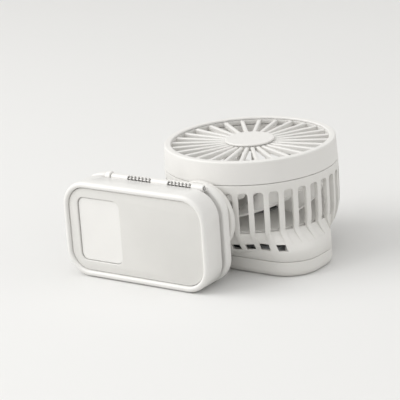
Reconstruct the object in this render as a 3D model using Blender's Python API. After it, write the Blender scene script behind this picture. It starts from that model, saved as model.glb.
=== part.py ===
"""Clip-on fan: a slotted fan drum on a flat battery base, with a sprung clip that swivels on its side.

Metres, +Z up. The origin is on the fan's axis, at the underside of the base.
X runs along the clip, and the clip is on the -Y side of the drum.
"""
from math import cos, hypot, pi, radians, sin, sqrt

import bmesh
import bpy
from mathutils import Vector

# Clearances
SEAT_GAP = 0.0003
RUN_GAP = 0.0002
OVERSHOOT = 0.0010

# Fan drum
DRUM_RADIUS = 0.0400
DRUM_WALL = 0.0020
DRUM_SEGMENTS = 36
SEAM_Z = 0.0432
BOWL_TOP_Z = 0.0268
BOWL_FLOOR_Z = 0.0084
BOWL_INSET = 0.0110
BOWL_STEPS = 3
CORNER_STEPS = 4

# Side slots, counted from the clip's side
SLOT_COUNT = 36
SLOT_WIDTH = 0.0045
SLOT_TURN = 1.8
SLOT_TOP_Z = 0.0396
SLOT_CORNER = 0.0014
SLOT_FLOOR_Z = 0.0202
SLOT_TAIL_Z = 0.0148
SLOT_TAIL_DEPTH = 0.0012
SLOT_TAIL_LEAN = 0.27
WINDOW_HEIGHT = 0.0028
WINDOWS_EACH_SIDE = 4
WINDOW_DEPTH = 0.0120

# Battery base
BASE_HALF_LENGTH = 0.0432
BASE_FRONT_Y = -0.0300
BASE_BACK_Y = 0.0078
BASE_CORNER = 0.0155
BASE_WALL = 0.0020
BASE_SEAM_Z = 0.0072
BASE_EDGE_INSET = 0.0027
BASE_EDGE_HEIGHT = 0.0036
BASE_FLOOR = 0.0018
BLEND_START_Z = 0.0110
BLEND_TOP_Z = 0.0213
BLEND_DIP = 0.0014
BLEND_STEPS = 5
HOLLOW_WALL_TOP_Z = 0.0110
HOLLOW_TOP_Z = 0.0145
HOLLOW_ROUND = 0.0035
LIP_HEIGHT = 0.0016
LIP_WALL = 0.0012

# Case screws
CASE_BOSS_RADIUS = 0.0043
CASE_BOSS_TOP_Z = 0.0130
CASE_BOSS_INSET = 0.0056
CASE_SCREW_SHANK = 0.0010
CASE_SCREW_HEAD = 0.0019
CASE_SCREW_HEAD_HEIGHT = 0.0012
CASE_SCREW_SINK = 0.0013
CASE_SCREW_LENGTH = 0.0085

# Bezel and grille
BEZEL_HEIGHT = 0.0108
BEZEL_DRAFT = 0.0005
BEZEL_ROUND = 0.0008
BEZEL_LIP_HEIGHT = 0.0009
BEZEL_WALL = 0.0011
BEZEL_SEGMENTS = 40
BEZEL_REACH = 0.0036
GRILLE_THICKNESS = 0.0022
GRILLE_SKIRT = 0.0012
GRILLE_FLANGE = 0.0011
GRILLE_TUCK = 0.0024
BAR_COUNT = 28
BAR_WIDTH = 0.0018
HUB_RADIUS = 0.0105
CAP_RADIUS = 0.0113
CAP_HEIGHT = 0.0009
CAP_STEM = 0.0020

# Chamber floor
FLOOR_THICKNESS = 0.0014
FLOOR_BOSS_RADIUS = 0.0025
FLOOR_BOSS_DROP = 0.0056

# Motor
BRACKET_RADIUS = 0.0118
BRACKET_THICKNESS = 0.0012
BRACKET_TUBE = 0.0032
BRACKET_BORE = 0.0022
BRACKET_TUBE_HEIGHT = 0.0105
BRACKET_SCREW_CIRCLE = 0.0086
BRACKET_SCREW_COUNT = 3
BRACKET_SCREW_SHANK = 0.0008
BRACKET_SCREW_HEAD = 0.0014
BRACKET_SCREW_HEAD_HEIGHT = 0.0008
BRACKET_SCREW_LENGTH = 0.0058
SHAFT_RADIUS = 0.0010
SHAFT_LENGTH = 0.0130
RETAINER_THICKNESS = 0.0004
BEARING_LENGTH = 0.0092
STATOR_POLES = 6
STATOR_RADIUS = 0.0091
STATOR_HUB = 0.0055
STATOR_NECK = 0.0024
STATOR_HEIGHT = 0.0074
STATOR_LIFT = 0.0030
MAGNET_RADIUS = 0.0109
MAGNET_WALL = 0.0013
MAGNET_HEIGHT = 0.0090

# Impeller
ROTOR_RADIUS = 0.0125
ROTOR_WALL = 0.0013
ROTOR_TOP_Z = 0.0372
ROTOR_BASE_Z = 0.0236
ROTOR_BOSS = 0.0026
HUB_SEGMENTS = 21
BLADE_COUNT = 7
BLADE_TIP_GAP = 0.0029
BLADE_THICKNESS = 0.0012
BLADE_LOW_Z = 0.0258
BLADE_RISE = 0.0100
BLADE_SWEEP = 64.0
BLADE_START = 14.0

# Battery, boards and charging socket
BATTERY_THICKNESS = 0.0095
BATTERY_SIDE_GAP = 0.0005
BATTERY_END_GAP = 0.0006
BATTERY_BOARD_GAP = 0.0014
BATTERY_CORNER = 0.0012
PAD_THICKNESS = 0.0005
BOARD_LENGTH = 0.0200
BOARD_SIDE_GAP = 0.0006
BOARD_THICKNESS = 0.0012
BOARD_Z = 0.0080
BOARD_POST_RADIUS = 0.0016
SOCKET_WIDTH = 0.0090
SOCKET_HEIGHT = 0.0032
SOCKET_LENGTH = 0.0072
SOCKET_WALL = 0.0004
SOCKET_SETBACK = 0.0012
LEAD_RADIUS = 0.0006
LEAD_SPACING = 0.0035
LEAD_REST = 0.0012

# Power button, on the side away from the clip
BUTTON_Z = 0.0300
BUTTON_BOSS_RADIUS = 0.0085
BUTTON_RADIUS = 0.0040
BUTTON_FLANGE = 0.0050
BUTTON_FLANGE_THICKNESS = 0.0009
BUTTON_PROUD = 0.0006
BUTTON_TRAVEL = 0.0008
BUTTON_DOME = 0.0004
SWITCH_SIZE = 0.0062
SWITCH_THICKNESS = 0.0007
BUTTON_BOARD_RADIUS = 0.0076
BUTTON_BOARD_THICKNESS = 0.0010

# Side bosses of the drum
BOSS_PROUD = 0.0012
BOSS_INNER_REACH = 0.0035

# Swivel
SWIVEL_Z = 0.0284
SWIVEL_BOSS_RADIUS = 0.0090
SWIVEL_RADIUS = 0.0170
SWIVEL_THICKNESS = 0.0031
SWIVEL_WEB = 0.0013
SWIVEL_EDGE = 0.0008
DRUM_TO_DISC = 0.0006
WASHER_THICKNESS = 0.0006
WASHER_RADIUS = 0.0065
AXLE_RADIUS = 0.0030
AXLE_HEAD_RADIUS = 0.0055
AXLE_HEAD_HEIGHT = 0.0014
NUT_RADIUS = 0.0050
NUT_THICKNESS = 0.0012
DISC_SCREW_COUNT = 3
DISC_SCREW_CIRCLE = 0.0128
DISC_SCREW_SHANK = 0.0009
DISC_SCREW_HEAD = 0.0017
DISC_SCREW_HEAD_HEIGHT = 0.0009
DISC_SCREW_LENGTH = 0.0042

# Clip
CLIP_LENGTH = 0.0784
CLIP_LEFT_X = -0.0622
CLIP_BOTTOM_Z = 0.0003
CLIP_HEIGHT = 0.0449
CLIP_CORNER = 0.0124
REAR_PLATE_THICKNESS = 0.0047
PLATE_EDGE = 0.0012
STRAP_GAP = 0.0033
JAW_THICKNESS = 0.0116
JAW_WALL = 0.0018
JAW_WEB = 0.0015
BEAD_WIDTH = 0.0027
BEAD_ROUND = 0.0016
PANEL_SEAT_DEPTH = 0.0027
PANEL_THICKNESS = 0.0012
BACK_COVER_THICKNESS = 0.0014
WINDOW_PLATE_LEFT = 0.0078
WINDOW_PLATE_WIDTH = 0.0232
WINDOW_PLATE_TALL = 0.0300
WINDOW_PLATE_CORNER = 0.0035
WINDOW_PLATE_THICKNESS = 0.0005
JAW_SCREW_INSET = 0.0085
JAW_BOSS_RADIUS = 0.0024
JAW_SCREW_SHANK = 0.0009
JAW_SCREW_HEAD = 0.0017
JAW_SCREW_HEAD_HEIGHT = 0.0008
JAW_SCREW_LENGTH = 0.0048

# Clip hinge
BARREL_RADIUS = 0.0015
PIN_RADIUS = 0.0007
KNOB_RADIUS = 0.0023
KNOB_LENGTH = 0.0030
KNUCKLE_WEB = 0.0015
REAR_KNUCKLES = ((-0.0422, -0.0329), (0.0017, 0.0080))
JAW_KNUCKLE = (-0.0201, -0.0109)
SPRING_SPANS = ((-0.0322, -0.0208), (-0.0102, 0.0010))
SPRING_WIRE = 0.00025
SPRING_COIL_RADIUS = 0.00122
SPRING_TURNS = 5
SPRING_POINTS_PER_TURN = 8
SPRING_LEG = 0.0090
SPRING_HOOK = 0.0014

# Grip pads
GRIP_LENGTH = 0.0520
GRIP_HEIGHT = 0.0070
GRIP_LIFT = 0.0040
GRIP_THICKNESS = 0.0012
GRIP_RIDGES = 5
GRIP_RIDGE_DEPTH = 0.0004

# Raised land on the rear plate, where a strap lies
LAND_LENGTH = 0.0560
LAND_HEIGHT = 0.0180
LAND_RISE = 0.0003
LAND_ABOVE_GRIP = 0.0025

# Colours
WHITE = (0.86, 0.85, 0.83, 1.0)
PANEL_GREY = (0.70, 0.70, 0.68, 1.0)
PALE_INSERT = (0.84, 0.84, 0.82, 1.0)
CLEAR_WHITE = (0.80, 0.81, 0.80, 1.0)
SOFT_GREY = (0.30, 0.30, 0.30, 1.0)
STEEL = (0.55, 0.55, 0.56, 1.0)
MAGNET_GREY = (0.12, 0.12, 0.13, 1.0)
COPPER = (0.60, 0.30, 0.16, 1.0)
BOARD_GREEN = (0.05, 0.22, 0.12, 1.0)
CELL_SILVER = (0.62, 0.63, 0.65, 1.0)
BLACK = (0.03, 0.03, 0.03, 1.0)
BRASS = (0.70, 0.52, 0.25, 1.0)

# Worked out from the sizes above
GRILLE_OPENING = DRUM_RADIUS - BEZEL_REACH
BLADE_TIP_RADIUS = GRILLE_OPENING - BLADE_TIP_GAP
BASE_CENTRE_Y = (BASE_FRONT_Y + BASE_BACK_Y) / 2
BASE_HALF_WIDTH = (BASE_BACK_Y - BASE_FRONT_Y) / 2
RIM_TOP_Z = SEAM_Z + BEZEL_HEIGHT
GRILLE_TOP_Z = RIM_TOP_Z - BEZEL_LIP_HEIGHT - SEAT_GAP
FLOOR_BASE_Z = SLOT_FLOOR_Z - FLOOR_THICKNESS
BRACKET_Z = SLOT_FLOOR_Z + SEAT_GAP
BRACKET_TOP_Z = BRACKET_Z + BRACKET_THICKNESS
DISC_BACK_Y = -DRUM_RADIUS - DRUM_TO_DISC
DISC_FRONT_Y = DISC_BACK_Y - SWIVEL_THICKNESS
BOSS_FACE_Y = DRUM_RADIUS + BOSS_PROUD
BOSS_BACK_Y = DRUM_RADIUS - BOSS_INNER_REACH
PLATE_BACK_Y = DISC_FRONT_Y - SEAT_GAP
PLATE_FRONT_Y = PLATE_BACK_Y - REAR_PLATE_THICKNESS
JAW_BACK_Y = PLATE_FRONT_Y - STRAP_GAP
JAW_FRONT_Y = JAW_BACK_Y - JAW_THICKNESS
CLIP_CENTRE_X = CLIP_LEFT_X + CLIP_LENGTH / 2
CLIP_CENTRE_Z = CLIP_BOTTOM_Z + CLIP_HEIGHT / 2
CLIP_TOP_Z = CLIP_BOTTOM_Z + CLIP_HEIGHT
HINGE_Y = (PLATE_FRONT_Y + JAW_BACK_Y) / 2
HINGE_Z = CLIP_TOP_Z
PANEL_SEAT_Y = JAW_FRONT_Y + PANEL_SEAT_DEPTH
CAVITY_Y = PANEL_SEAT_Y + JAW_WEB


# Scene helpers

def clear_scene():
    for thing in list(bpy.data.objects):
        bpy.data.objects.remove(thing, do_unlink=True)


def material(name, colour, roughness=0.45, metallic=0.0):
    found = bpy.data.materials.get(name)
    if found:
        return found
    made = bpy.data.materials.new(name)
    made.use_nodes = True
    shader = made.node_tree.nodes["Principled BSDF"]
    shader.inputs["Base Color"].default_value = colour
    shader.inputs["Roughness"].default_value = roughness
    shader.inputs["Metallic"].default_value = metallic
    return made


def pivot(name, place):
    empty = bpy.data.objects.new(name, None)
    empty.location = place
    bpy.context.scene.collection.objects.link(empty)
    return empty


def make(name, bm, colour, roughness=0.45, metallic=0.0, parent=None):
    """Turns a bmesh into a named object with its own material, on its joint's pivot if it has one."""
    bmesh.ops.recalc_face_normals(bm, faces=bm.faces)
    if parent:
        bmesh.ops.translate(bm, verts=bm.verts, vec=-parent.location)
    mesh = bpy.data.meshes.new(name)
    bm.to_mesh(mesh)
    bm.free()
    mesh.shade_smooth()
    mesh.set_sharp_from_angle(angle=radians(35))
    made = bpy.data.objects.new(name, mesh)
    made.parent = parent
    made.data.materials.append(material(name, colour, roughness, metallic))
    bpy.context.scene.collection.objects.link(made)
    return made


def guide(name, bm):
    """Makes a hidden shape that only cuts or joins other shapes."""
    made = make(name, bm, WHITE)
    made.hide_render = True
    made.display_type = "WIRE"
    return made


def boolean(target, tool, operation):
    step = target.modifiers.new(tool.name, "BOOLEAN")
    step.operation = operation
    step.object = tool


def cut(target, name, bm):
    tool = guide(name, bm)
    boolean(target, tool, "DIFFERENCE")
    return tool


def fuse(target, name, bm):
    tool = guide(name, bm)
    boolean(target, tool, "UNION")
    return tool


# Shape builders: each adds one closed body to a bmesh

def shape(*builders):
    bm = bmesh.new()
    for build in builders:
        build(bm)
    return bm


def loft(rings):
    """A closed body through rings of equally many points, capped at both ends."""
    def build(bm):
        rows = [[bm.verts.new(point) for point in ring] for ring in rings]
        count = len(rows[0])
        for low, high in zip(rows, rows[1:]):
            for i in range(count):
                j = (i + 1) % count
                bm.faces.new((low[i], low[j], high[j], high[i]))
        bm.faces.new(list(reversed(rows[0])))
        bm.faces.new(rows[-1])
    return build


def slab(upper, lower):
    """A closed body between an upper and a lower grid of equally many points."""
    def build(bm):
        top = [[bm.verts.new(point) for point in row] for row in upper]
        low = [[bm.verts.new(point) for point in row] for row in lower]
        rows, columns = len(top) - 1, len(top[0]) - 1
        for grid in (top, low):
            for i in range(rows):
                for k in range(columns):
                    bm.faces.new((grid[i][k], grid[i + 1][k], grid[i + 1][k + 1], grid[i][k + 1]))
        for i in (0, rows):
            for k in range(columns):
                bm.faces.new((top[i][k], top[i][k + 1], low[i][k + 1], low[i][k]))
        for k in (0, columns):
            for i in range(rows):
                bm.faces.new((top[i][k], top[i + 1][k], low[i + 1][k], low[i][k]))
    return build


def block(low, high):
    corners = [(low[0], low[1]), (high[0], low[1]), (high[0], high[1]), (low[0], high[1])]
    return loft([[(x, y, z) for x, y in corners] for z in (low[2], high[2])])


def turned(profile, segments, centre=(0, 0, 0), along="Z", start=0.0):
    """A closed body turned from (radius, height) points. A profile off the axis is a closed ring."""
    def build(bm):
        def place(radius, height, angle):
            u, v = radius * cos(angle), radius * sin(angle)
            spot = {"X": (height, u, v), "Y": (v, height, u), "Z": (u, v, height)}[along]
            return Vector(spot) + Vector(centre)
        columns = []
        for i in range(segments):
            angle = radians(start) + 2 * pi * i / segments
            columns.append([bm.verts.new(place(r, h, angle)) if r > 0 else None for r, h in profile])
        poles = {k: bm.verts.new(place(0, h, 0)) for k, (r, h) in enumerate(profile) if r <= 0}
        ring_closed = not poles
        steps = len(profile) if ring_closed else len(profile) - 1
        for i in range(segments):
            here, there = columns[i], columns[(i + 1) % segments]
            for k in range(steps):
                m = (k + 1) % len(profile)
                corners = [here[k] or poles[k], there[k] or poles[k],
                           there[m] or poles[m], here[m] or poles[m]]
                unique = list(dict.fromkeys(corners))
                if len(unique) > 2:
                    bm.faces.new(unique)
    return build


def rod(radius, start, end, segments=24, centre=(0, 0, 0), along="Z"):
    return turned([(0, start), (radius, start), (radius, end), (0, end)], segments, centre, along)


def tube(outer, inner, start, end, segments=24, centre=(0, 0, 0), along="Z"):
    profile = [(inner, start), (outer, start), (outer, end), (inner, end)]
    return turned(profile, segments, centre, along)


def arc(centre_u, centre_v, radius_u, radius_v, start, end, steps):
    """Points of an ellipse's arc, angles in degrees."""
    angles = [radians(start + (end - start) * i / steps) for i in range(steps + 1)]
    return [(centre_u + radius_u * cos(a), centre_v + radius_v * sin(a)) for a in angles]


def rounded_outline(half_u, half_v, corner, inset=0.0, steps=CORNER_STEPS):
    radius = max(corner - inset, 0.0002)
    corner_u = half_u - inset - radius
    corner_v = half_v - inset - radius
    points = []
    for turn, (su, sv) in enumerate(((1, 1), (-1, 1), (-1, -1), (1, -1))):
        points += arc(su * corner_u, sv * corner_v, radius, radius, 90 * turn, 90 * turn + 90, steps)
    return points


def base_ring(inset, z):
    outline = rounded_outline(BASE_HALF_LENGTH, BASE_HALF_WIDTH, BASE_CORNER, inset)
    return [(x, BASE_CENTRE_Y + y, z) for x, y in outline]


def clip_ring(inset, y):
    outline = rounded_outline(CLIP_LENGTH / 2, CLIP_HEIGHT / 2, CLIP_CORNER, inset)
    return [(CLIP_CENTRE_X + x, y, CLIP_CENTRE_Z + z) for x, z in outline]


def window_ring(inset, y):
    outline = rounded_outline(WINDOW_PLATE_WIDTH / 2, WINDOW_PLATE_TALL / 2, WINDOW_PLATE_CORNER, inset, 3)
    centre_x = CLIP_LEFT_X + WINDOW_PLATE_LEFT + WINDOW_PLATE_WIDTH / 2
    return [(centre_x + x, y, CLIP_CENTRE_Z + z) for x, z in outline]


def screw(head, head_height, shank, length, centre, along="Z", turn=1, segments=8):
    """A round-headed screw whose head's underside is at its centre. turn gives the shank's direction."""
    profile = [(0, -turn * head_height), (head, -turn * head_height), (head, 0),
               (shank, 0), (shank, turn * length), (0, turn * length)]
    return turned(profile, segments, centre, along)


def around(count, radius, start=0.0):
    """Points evenly spaced on a circle, the first at the start angle in degrees."""
    angles = [radians(start + 360 * i / count) for i in range(count)]
    return [(radius * cos(a), radius * sin(a)) for a in angles]


# Drum and base housing

def bowl_curve(shrink):
    """The drum's outer side from its floor to its straight wall, or the same side drawn in by shrink."""
    return arc(DRUM_RADIUS - BOWL_INSET, BOWL_TOP_Z, BOWL_INSET - shrink,
               BOWL_TOP_Z - BOWL_FLOOR_Z - shrink, -90, 0, BOWL_STEPS)


def drum_body(shrink, top_z):
    floor_z = BOWL_FLOOR_Z + shrink
    profile = [(0, floor_z)] + bowl_curve(shrink) + [(DRUM_RADIUS - shrink, top_z), (0, top_z)]
    return turned(profile, DRUM_SEGMENTS, start=SLOT_TURN)


def blend_body(shrink, low_z):
    """The upper part of the base, whose wall bends in to the drum's wall wherever it stands outside it."""
    wall_radius = DRUM_RADIUS - BLEND_DIP - shrink
    outline = base_ring(shrink, BLEND_START_Z)
    rings = [base_ring(shrink, low_z), outline]
    for step in range(1, BLEND_STEPS + 1):
        share = step / BLEND_STEPS
        bend = share ** 2 * (3 - 2 * share)
        z = BLEND_START_Z + (BLEND_TOP_Z - shrink - BLEND_START_Z) * share
        ring = []
        for x, y, _ in outline:
            reach = hypot(x, y)
            scale = 1 - bend * max(1 - wall_radius / reach, 0.0)
            ring.append((x * scale, y * scale, z))
        rings.append(ring)
    return loft(rings)


def base_hollow_body(low_z):
    """The space inside the base's walls, with a rounded upper edge."""
    rings = [base_ring(BASE_WALL, low_z)]
    start_z = min(HOLLOW_WALL_TOP_Z, HOLLOW_TOP_Z)
    for reach, z in arc(0, start_z, HOLLOW_ROUND, HOLLOW_TOP_Z - start_z, 0, 90, 3):
        rings.append(base_ring(BASE_WALL + HOLLOW_ROUND - reach, z))
    return loft(rings)


def slot_angle(index):
    """The direction of a side slot's middle, in radians from +X."""
    return radians(-90 + SLOT_TURN + 360 * (index + 0.5) / SLOT_COUNT)


def tail_lean(z):
    """How far a slot's tail has moved sideways at a height below the slot."""
    return SLOT_TAIL_LEAN * (SLOT_FLOOR_Z - z)


def radial_prism(angle, near, far, outline):
    """A closed prism that runs out from the drum's axis. Its outline is (sideways, z) points."""
    out = Vector((cos(angle), sin(angle), 0))
    side = Vector((-sin(angle), cos(angle), 0))
    rings = []
    for reach in (near, far):
        rings.append([out * reach + side * u + Vector((0, 0, z)) for u, z in outline])
    return loft(rings)


def solid_slots():
    """Slots left uncut, where a side boss stands on the wall."""
    uncut = set()
    for direction, boss in ((-90, SWIVEL_BOSS_RADIUS), (90, BUTTON_BOSS_RADIUS)):
        for index in range(SLOT_COUNT):
            away = abs((slot_angle(index) - radians(direction) + pi) % (2 * pi) - pi)
            if DRUM_RADIUS * sin(min(away, pi / 2)) < boss - SLOT_WIDTH / 2:
                uncut.add(index)
    return uncut


def slot_outline(low_z, high_z, corner):
    half = SLOT_WIDTH / 2
    top = arc(half - corner, high_z - corner, corner, corner, 0, 90, 1)
    left = [(-u, z) for u, z in reversed(top)]
    return [(-half, low_z), (half, low_z)] + top + left


def make_main_housing():
    drum = make("main_housing", shape(drum_body(0, SEAM_Z)), WHITE, 0.42)
    fuse(drum, "base_shoulder", shape(blend_body(0, BASE_SEAM_Z + SEAT_GAP)))
    cut(drum, "drum_hollow", shape(drum_body(DRUM_WALL, SEAM_Z + OVERSHOOT)))
    cut(drum, "base_hollow", shape(base_hollow_body(BASE_SEAM_Z - OVERSHOOT)))

    uncut = solid_slots()
    opened = [i for i in range(SLOT_COUNT) if i not in uncut]
    inner_reach = DRUM_RADIUS - DRUM_WALL - BOSS_INNER_REACH
    outer_reach = DRUM_RADIUS + 3 * OVERSHOOT
    through = slot_outline(SLOT_FLOOR_Z, SLOT_TOP_Z, SLOT_CORNER)
    cut(drum, "slot_cutters", shape(*[
        radial_prism(slot_angle(i), inner_reach, outer_reach, through) for i in opened]))

    half = SLOT_WIDTH / 2 - SEAT_GAP / 2
    tail_top_z = SLOT_FLOOR_Z + OVERSHOOT / 4
    lean = tail_lean(SLOT_TAIL_Z)
    tail = [(lean - half, SLOT_TAIL_Z), (lean + half, SLOT_TAIL_Z), (half, tail_top_z), (-half, tail_top_z)]
    corner_reach = hypot(BASE_HALF_LENGTH, BASE_FRONT_Y)
    tails = cut(drum, "slot_tail_cutters", shape(*[
        radial_prism(slot_angle(i), inner_reach, corner_reach, tail) for i in opened]))
    cut(tails, "slot_tail_core", shape(drum_body(SLOT_TAIL_DEPTH, SEAM_Z)))
    cut(tails, "slot_tail_shoulder", shape(blend_body(SLOT_TAIL_DEPTH, BASE_SEAM_Z)))

    half = SLOT_WIDTH / 2 - SEAT_GAP
    top_z = SLOT_TAIL_Z + SEAT_GAP / 2
    low_z = top_z - WINDOW_HEIGHT
    low_lean, top_lean = tail_lean(low_z), tail_lean(top_z)
    window = [(low_lean - half, low_z), (low_lean + half, low_z),
              (top_lean + half, top_z), (top_lean - half, top_z)]
    first = len([i for i in uncut if i < SLOT_COUNT / 4])
    front = range(first, first + WINDOWS_EACH_SIDE)
    sides = [i for k in front for i in (k, SLOT_COUNT - 1 - k)]
    cut(drum, "front_window_cutters", shape(*[
        radial_prism(slot_angle(i), DRUM_RADIUS - WINDOW_DEPTH, DRUM_RADIUS + WINDOW_DEPTH, window)
        for i in sides]))

    low_z = BASE_SEAM_Z + LIP_HEIGHT + SEAT_GAP
    fuse(drum, "case_bosses", shape(*[
        rod(CASE_BOSS_RADIUS, low_z, CASE_BOSS_TOP_Z, 10, (x, y, 0)) for x, y in case_screw_spots()]))
    bore = CASE_SCREW_SHANK + SEAT_GAP
    bore_top_z = CASE_SCREW_SINK + CASE_SCREW_HEAD_HEIGHT + CASE_SCREW_LENGTH + SEAT_GAP
    cut(drum, "case_boss_bores", shape(*[
        rod(bore, low_z - OVERSHOOT, bore_top_z, 8, (x, y, 0)) for x, y in case_screw_spots()]))

    inside_y = BOSS_BACK_Y - OVERSHOOT
    outside_y = BOSS_FACE_Y + OVERSHOOT
    axle_bore = AXLE_RADIUS + SEAT_GAP
    wide, narrow = BUTTON_FLANGE + SEAT_GAP, BUTTON_RADIUS + SEAT_GAP
    cut(drum, "side_boss_openings", shape(
        rod((axle_bore + SWIVEL_BOSS_RADIUS) / 2, -outside_y, -inside_y, 16, (0, 0, SWIVEL_Z), "Y"),
        rod((wide + BUTTON_BOSS_RADIUS) / 2, inside_y, outside_y, 16, (0, 0, BUTTON_Z), "Y")))
    button_boss = [(wide, BOSS_BACK_Y), (BUTTON_BOSS_RADIUS, BOSS_BACK_Y), (BUTTON_BOSS_RADIUS, BOSS_FACE_Y),
                   (narrow, BOSS_FACE_Y), (narrow, button_step_y()), (wide, button_step_y())]
    fuse(drum, "side_bosses", shape(
        tube(SWIVEL_BOSS_RADIUS, axle_bore, -BOSS_FACE_Y, -BOSS_BACK_Y, 20, (0, 0, SWIVEL_Z), "Y"),
        turned(button_boss, 20, (0, 0, BUTTON_Z), "Y")))

    half_y = SOCKET_WIDTH / 2 + SEAT_GAP
    half_z = SOCKET_HEIGHT / 2 + SEAT_GAP
    mouth = rounded_outline(half_y, half_z, half_z, 0.0002, 4)
    near, far = -BASE_HALF_LENGTH - OVERSHOOT, -BASE_HALF_LENGTH + BASE_WALL + OVERSHOOT
    cut(drum, "socket_mouth", shape(loft([
        [(x, BASE_CENTRE_Y + y, socket_z() + z) for y, z in mouth] for x in (near, far)])))


def case_screw_spots():
    """Screw places on the diagonals of the base's rounded corners."""
    reach = (BASE_CORNER - CASE_BOSS_INSET) / sqrt(2)
    far_x = BASE_HALF_LENGTH - BASE_CORNER + reach
    far_y = BASE_HALF_WIDTH - BASE_CORNER + reach
    return [(sx * far_x, BASE_CENTRE_Y + sy * far_y) for sx in (-1, 1) for sy in (-1, 1)]


def board_post_spots():
    start_x = board_left_x() + BOARD_POST_RADIUS + OVERSHOOT
    end_x = board_left_x() + BOARD_LENGTH - BOARD_POST_RADIUS - OVERSHOOT
    return [(start_x, BASE_CENTRE_Y), (end_x, BASE_CENTRE_Y)]


def board_half_width():
    """The board lies between the screw bosses at its end of the base."""
    boss_y = max(y for x, y in case_screw_spots())
    return boss_y - BASE_CENTRE_Y - CASE_BOSS_RADIUS - BOARD_SIDE_GAP


def board_left_x():
    """The board's end clears the rounded corners inside the base's lip."""
    radius = BASE_CORNER - BASE_WALL - LIP_WALL - 2 * SEAT_GAP
    past_straight = max(board_half_width() - (BASE_HALF_WIDTH - BASE_CORNER), 0.0)
    return -BASE_HALF_LENGTH + BASE_CORNER - sqrt(radius ** 2 - past_straight ** 2)


def socket_z():
    return BOARD_Z + BOARD_THICKNESS + SEAT_GAP + SOCKET_HEIGHT / 2


def make_base_cover():
    edge = [(BASE_EDGE_INSET - reach, BASE_EDGE_HEIGHT + z)
            for reach, z in arc(0, 0, BASE_EDGE_INSET, BASE_EDGE_HEIGHT, -90, 0, 3)]
    lip = BASE_WALL + SEAT_GAP
    steps = edge + [(0, BASE_SEAM_Z), (lip, BASE_SEAM_Z), (lip, BASE_SEAM_Z + LIP_HEIGHT),
                    (lip + LIP_WALL, BASE_SEAM_Z + LIP_HEIGHT), (lip + LIP_WALL, BASE_FLOOR)]
    cover = make("base_cover", shape(loft([base_ring(inset, z) for inset, z in steps])), WHITE, 0.42)

    embed_z = BASE_FLOOR / 2
    boss_radius = CASE_SCREW_HEAD + 2 * SEAT_GAP + 0.4 * BASE_WALL
    boss_top_z = BASE_SEAM_Z + LIP_HEIGHT - RUN_GAP
    bosses = [rod(boss_radius, embed_z, boss_top_z, 12, (x, y, 0)) for x, y in case_screw_spots()]
    posts = [rod(BOARD_POST_RADIUS, embed_z, BOARD_Z - SEAT_GAP, 8, (x, y, 0))
             for x, y in board_post_spots()]
    fuse(cover, "cover_bosses", shape(*bosses, *posts))

    head, shank = CASE_SCREW_HEAD + SEAT_GAP, CASE_SCREW_SHANK + SEAT_GAP
    seat_z = CASE_SCREW_SINK + CASE_SCREW_HEAD_HEIGHT + SEAT_GAP
    hole = [(0, -OVERSHOOT), (head, -OVERSHOOT), (head, seat_z), (shank, seat_z),
            (shank, boss_top_z + OVERSHOOT), (0, boss_top_z + OVERSHOOT)]
    cut(cover, "cover_screw_holes", shape(*[turned(hole, 10, (x, y, 0)) for x, y in case_screw_spots()]))


def make_case_screws():
    head_top_z = CASE_SCREW_SINK + CASE_SCREW_HEAD_HEIGHT
    for number, (x, y) in enumerate(case_screw_spots(), 1):
        body = screw(CASE_SCREW_HEAD, CASE_SCREW_HEAD_HEIGHT, CASE_SCREW_SHANK, CASE_SCREW_LENGTH,
                     (x, y, head_top_z))
        make(f"case_screw_{number}", shape(body), STEEL, 0.3, 1.0)


# Bezel, grille and cap

def bezel_outer_radius(z):
    """The bezel leans in a little from the seam to its rounded top."""
    return DRUM_RADIUS - BEZEL_DRAFT * (z - SEAM_Z) / BEZEL_HEIGHT


def make_front_bezel():
    low_z = SEAM_Z + SEAT_GAP
    flange_radius = DRUM_RADIUS - BEZEL_WALL
    skirt_radius = GRILLE_OPENING + GRILLE_SKIRT + SEAT_GAP
    rebate_z = low_z + GRILLE_FLANGE + SEAT_GAP
    lip_z = RIM_TOP_Z - BEZEL_LIP_HEIGHT
    top_radius = bezel_outer_radius(RIM_TOP_Z)
    outer = arc(top_radius - BEZEL_ROUND, RIM_TOP_Z - BEZEL_ROUND, BEZEL_ROUND, BEZEL_ROUND, 0, 90, 2)
    inner_round = top_radius - BEZEL_ROUND - GRILLE_OPENING
    inner_round = min(max(inner_round, SEAT_GAP), BEZEL_LIP_HEIGHT / 2)
    inner = arc(GRILLE_OPENING + inner_round, RIM_TOP_Z - inner_round, inner_round, inner_round, 90, 180, 2)
    profile = [(flange_radius, low_z), (bezel_outer_radius(low_z), low_z)] + outer + inner + [
        (GRILLE_OPENING, lip_z), (skirt_radius, lip_z), (skirt_radius, rebate_z), (flange_radius, rebate_z)]
    make("front_bezel", shape(turned(profile, BEZEL_SEGMENTS)), WHITE, 0.30)


def make_duct_ring():
    """The round wall under the grille, with a flange that the bezel clamps on the drum's wall."""
    low_z = SEAM_Z + SEAT_GAP
    top_z = GRILLE_TOP_Z - GRILLE_THICKNESS - SEAT_GAP
    skirt = GRILLE_OPENING + GRILLE_SKIRT
    flange = DRUM_RADIUS - BEZEL_WALL - SEAT_GAP
    tuck = DRUM_RADIUS - DRUM_WALL - SEAT_GAP
    profile = [(GRILLE_OPENING, low_z - GRILLE_TUCK), (tuck, low_z - GRILLE_TUCK), (tuck, low_z),
               (flange, low_z), (flange, low_z + GRILLE_FLANGE), (skirt, low_z + GRILLE_FLANGE),
               (skirt, top_z), (GRILLE_OPENING, top_z)]
    make("duct_ring", shape(turned(profile, BAR_COUNT)), WHITE, 0.35)


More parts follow.
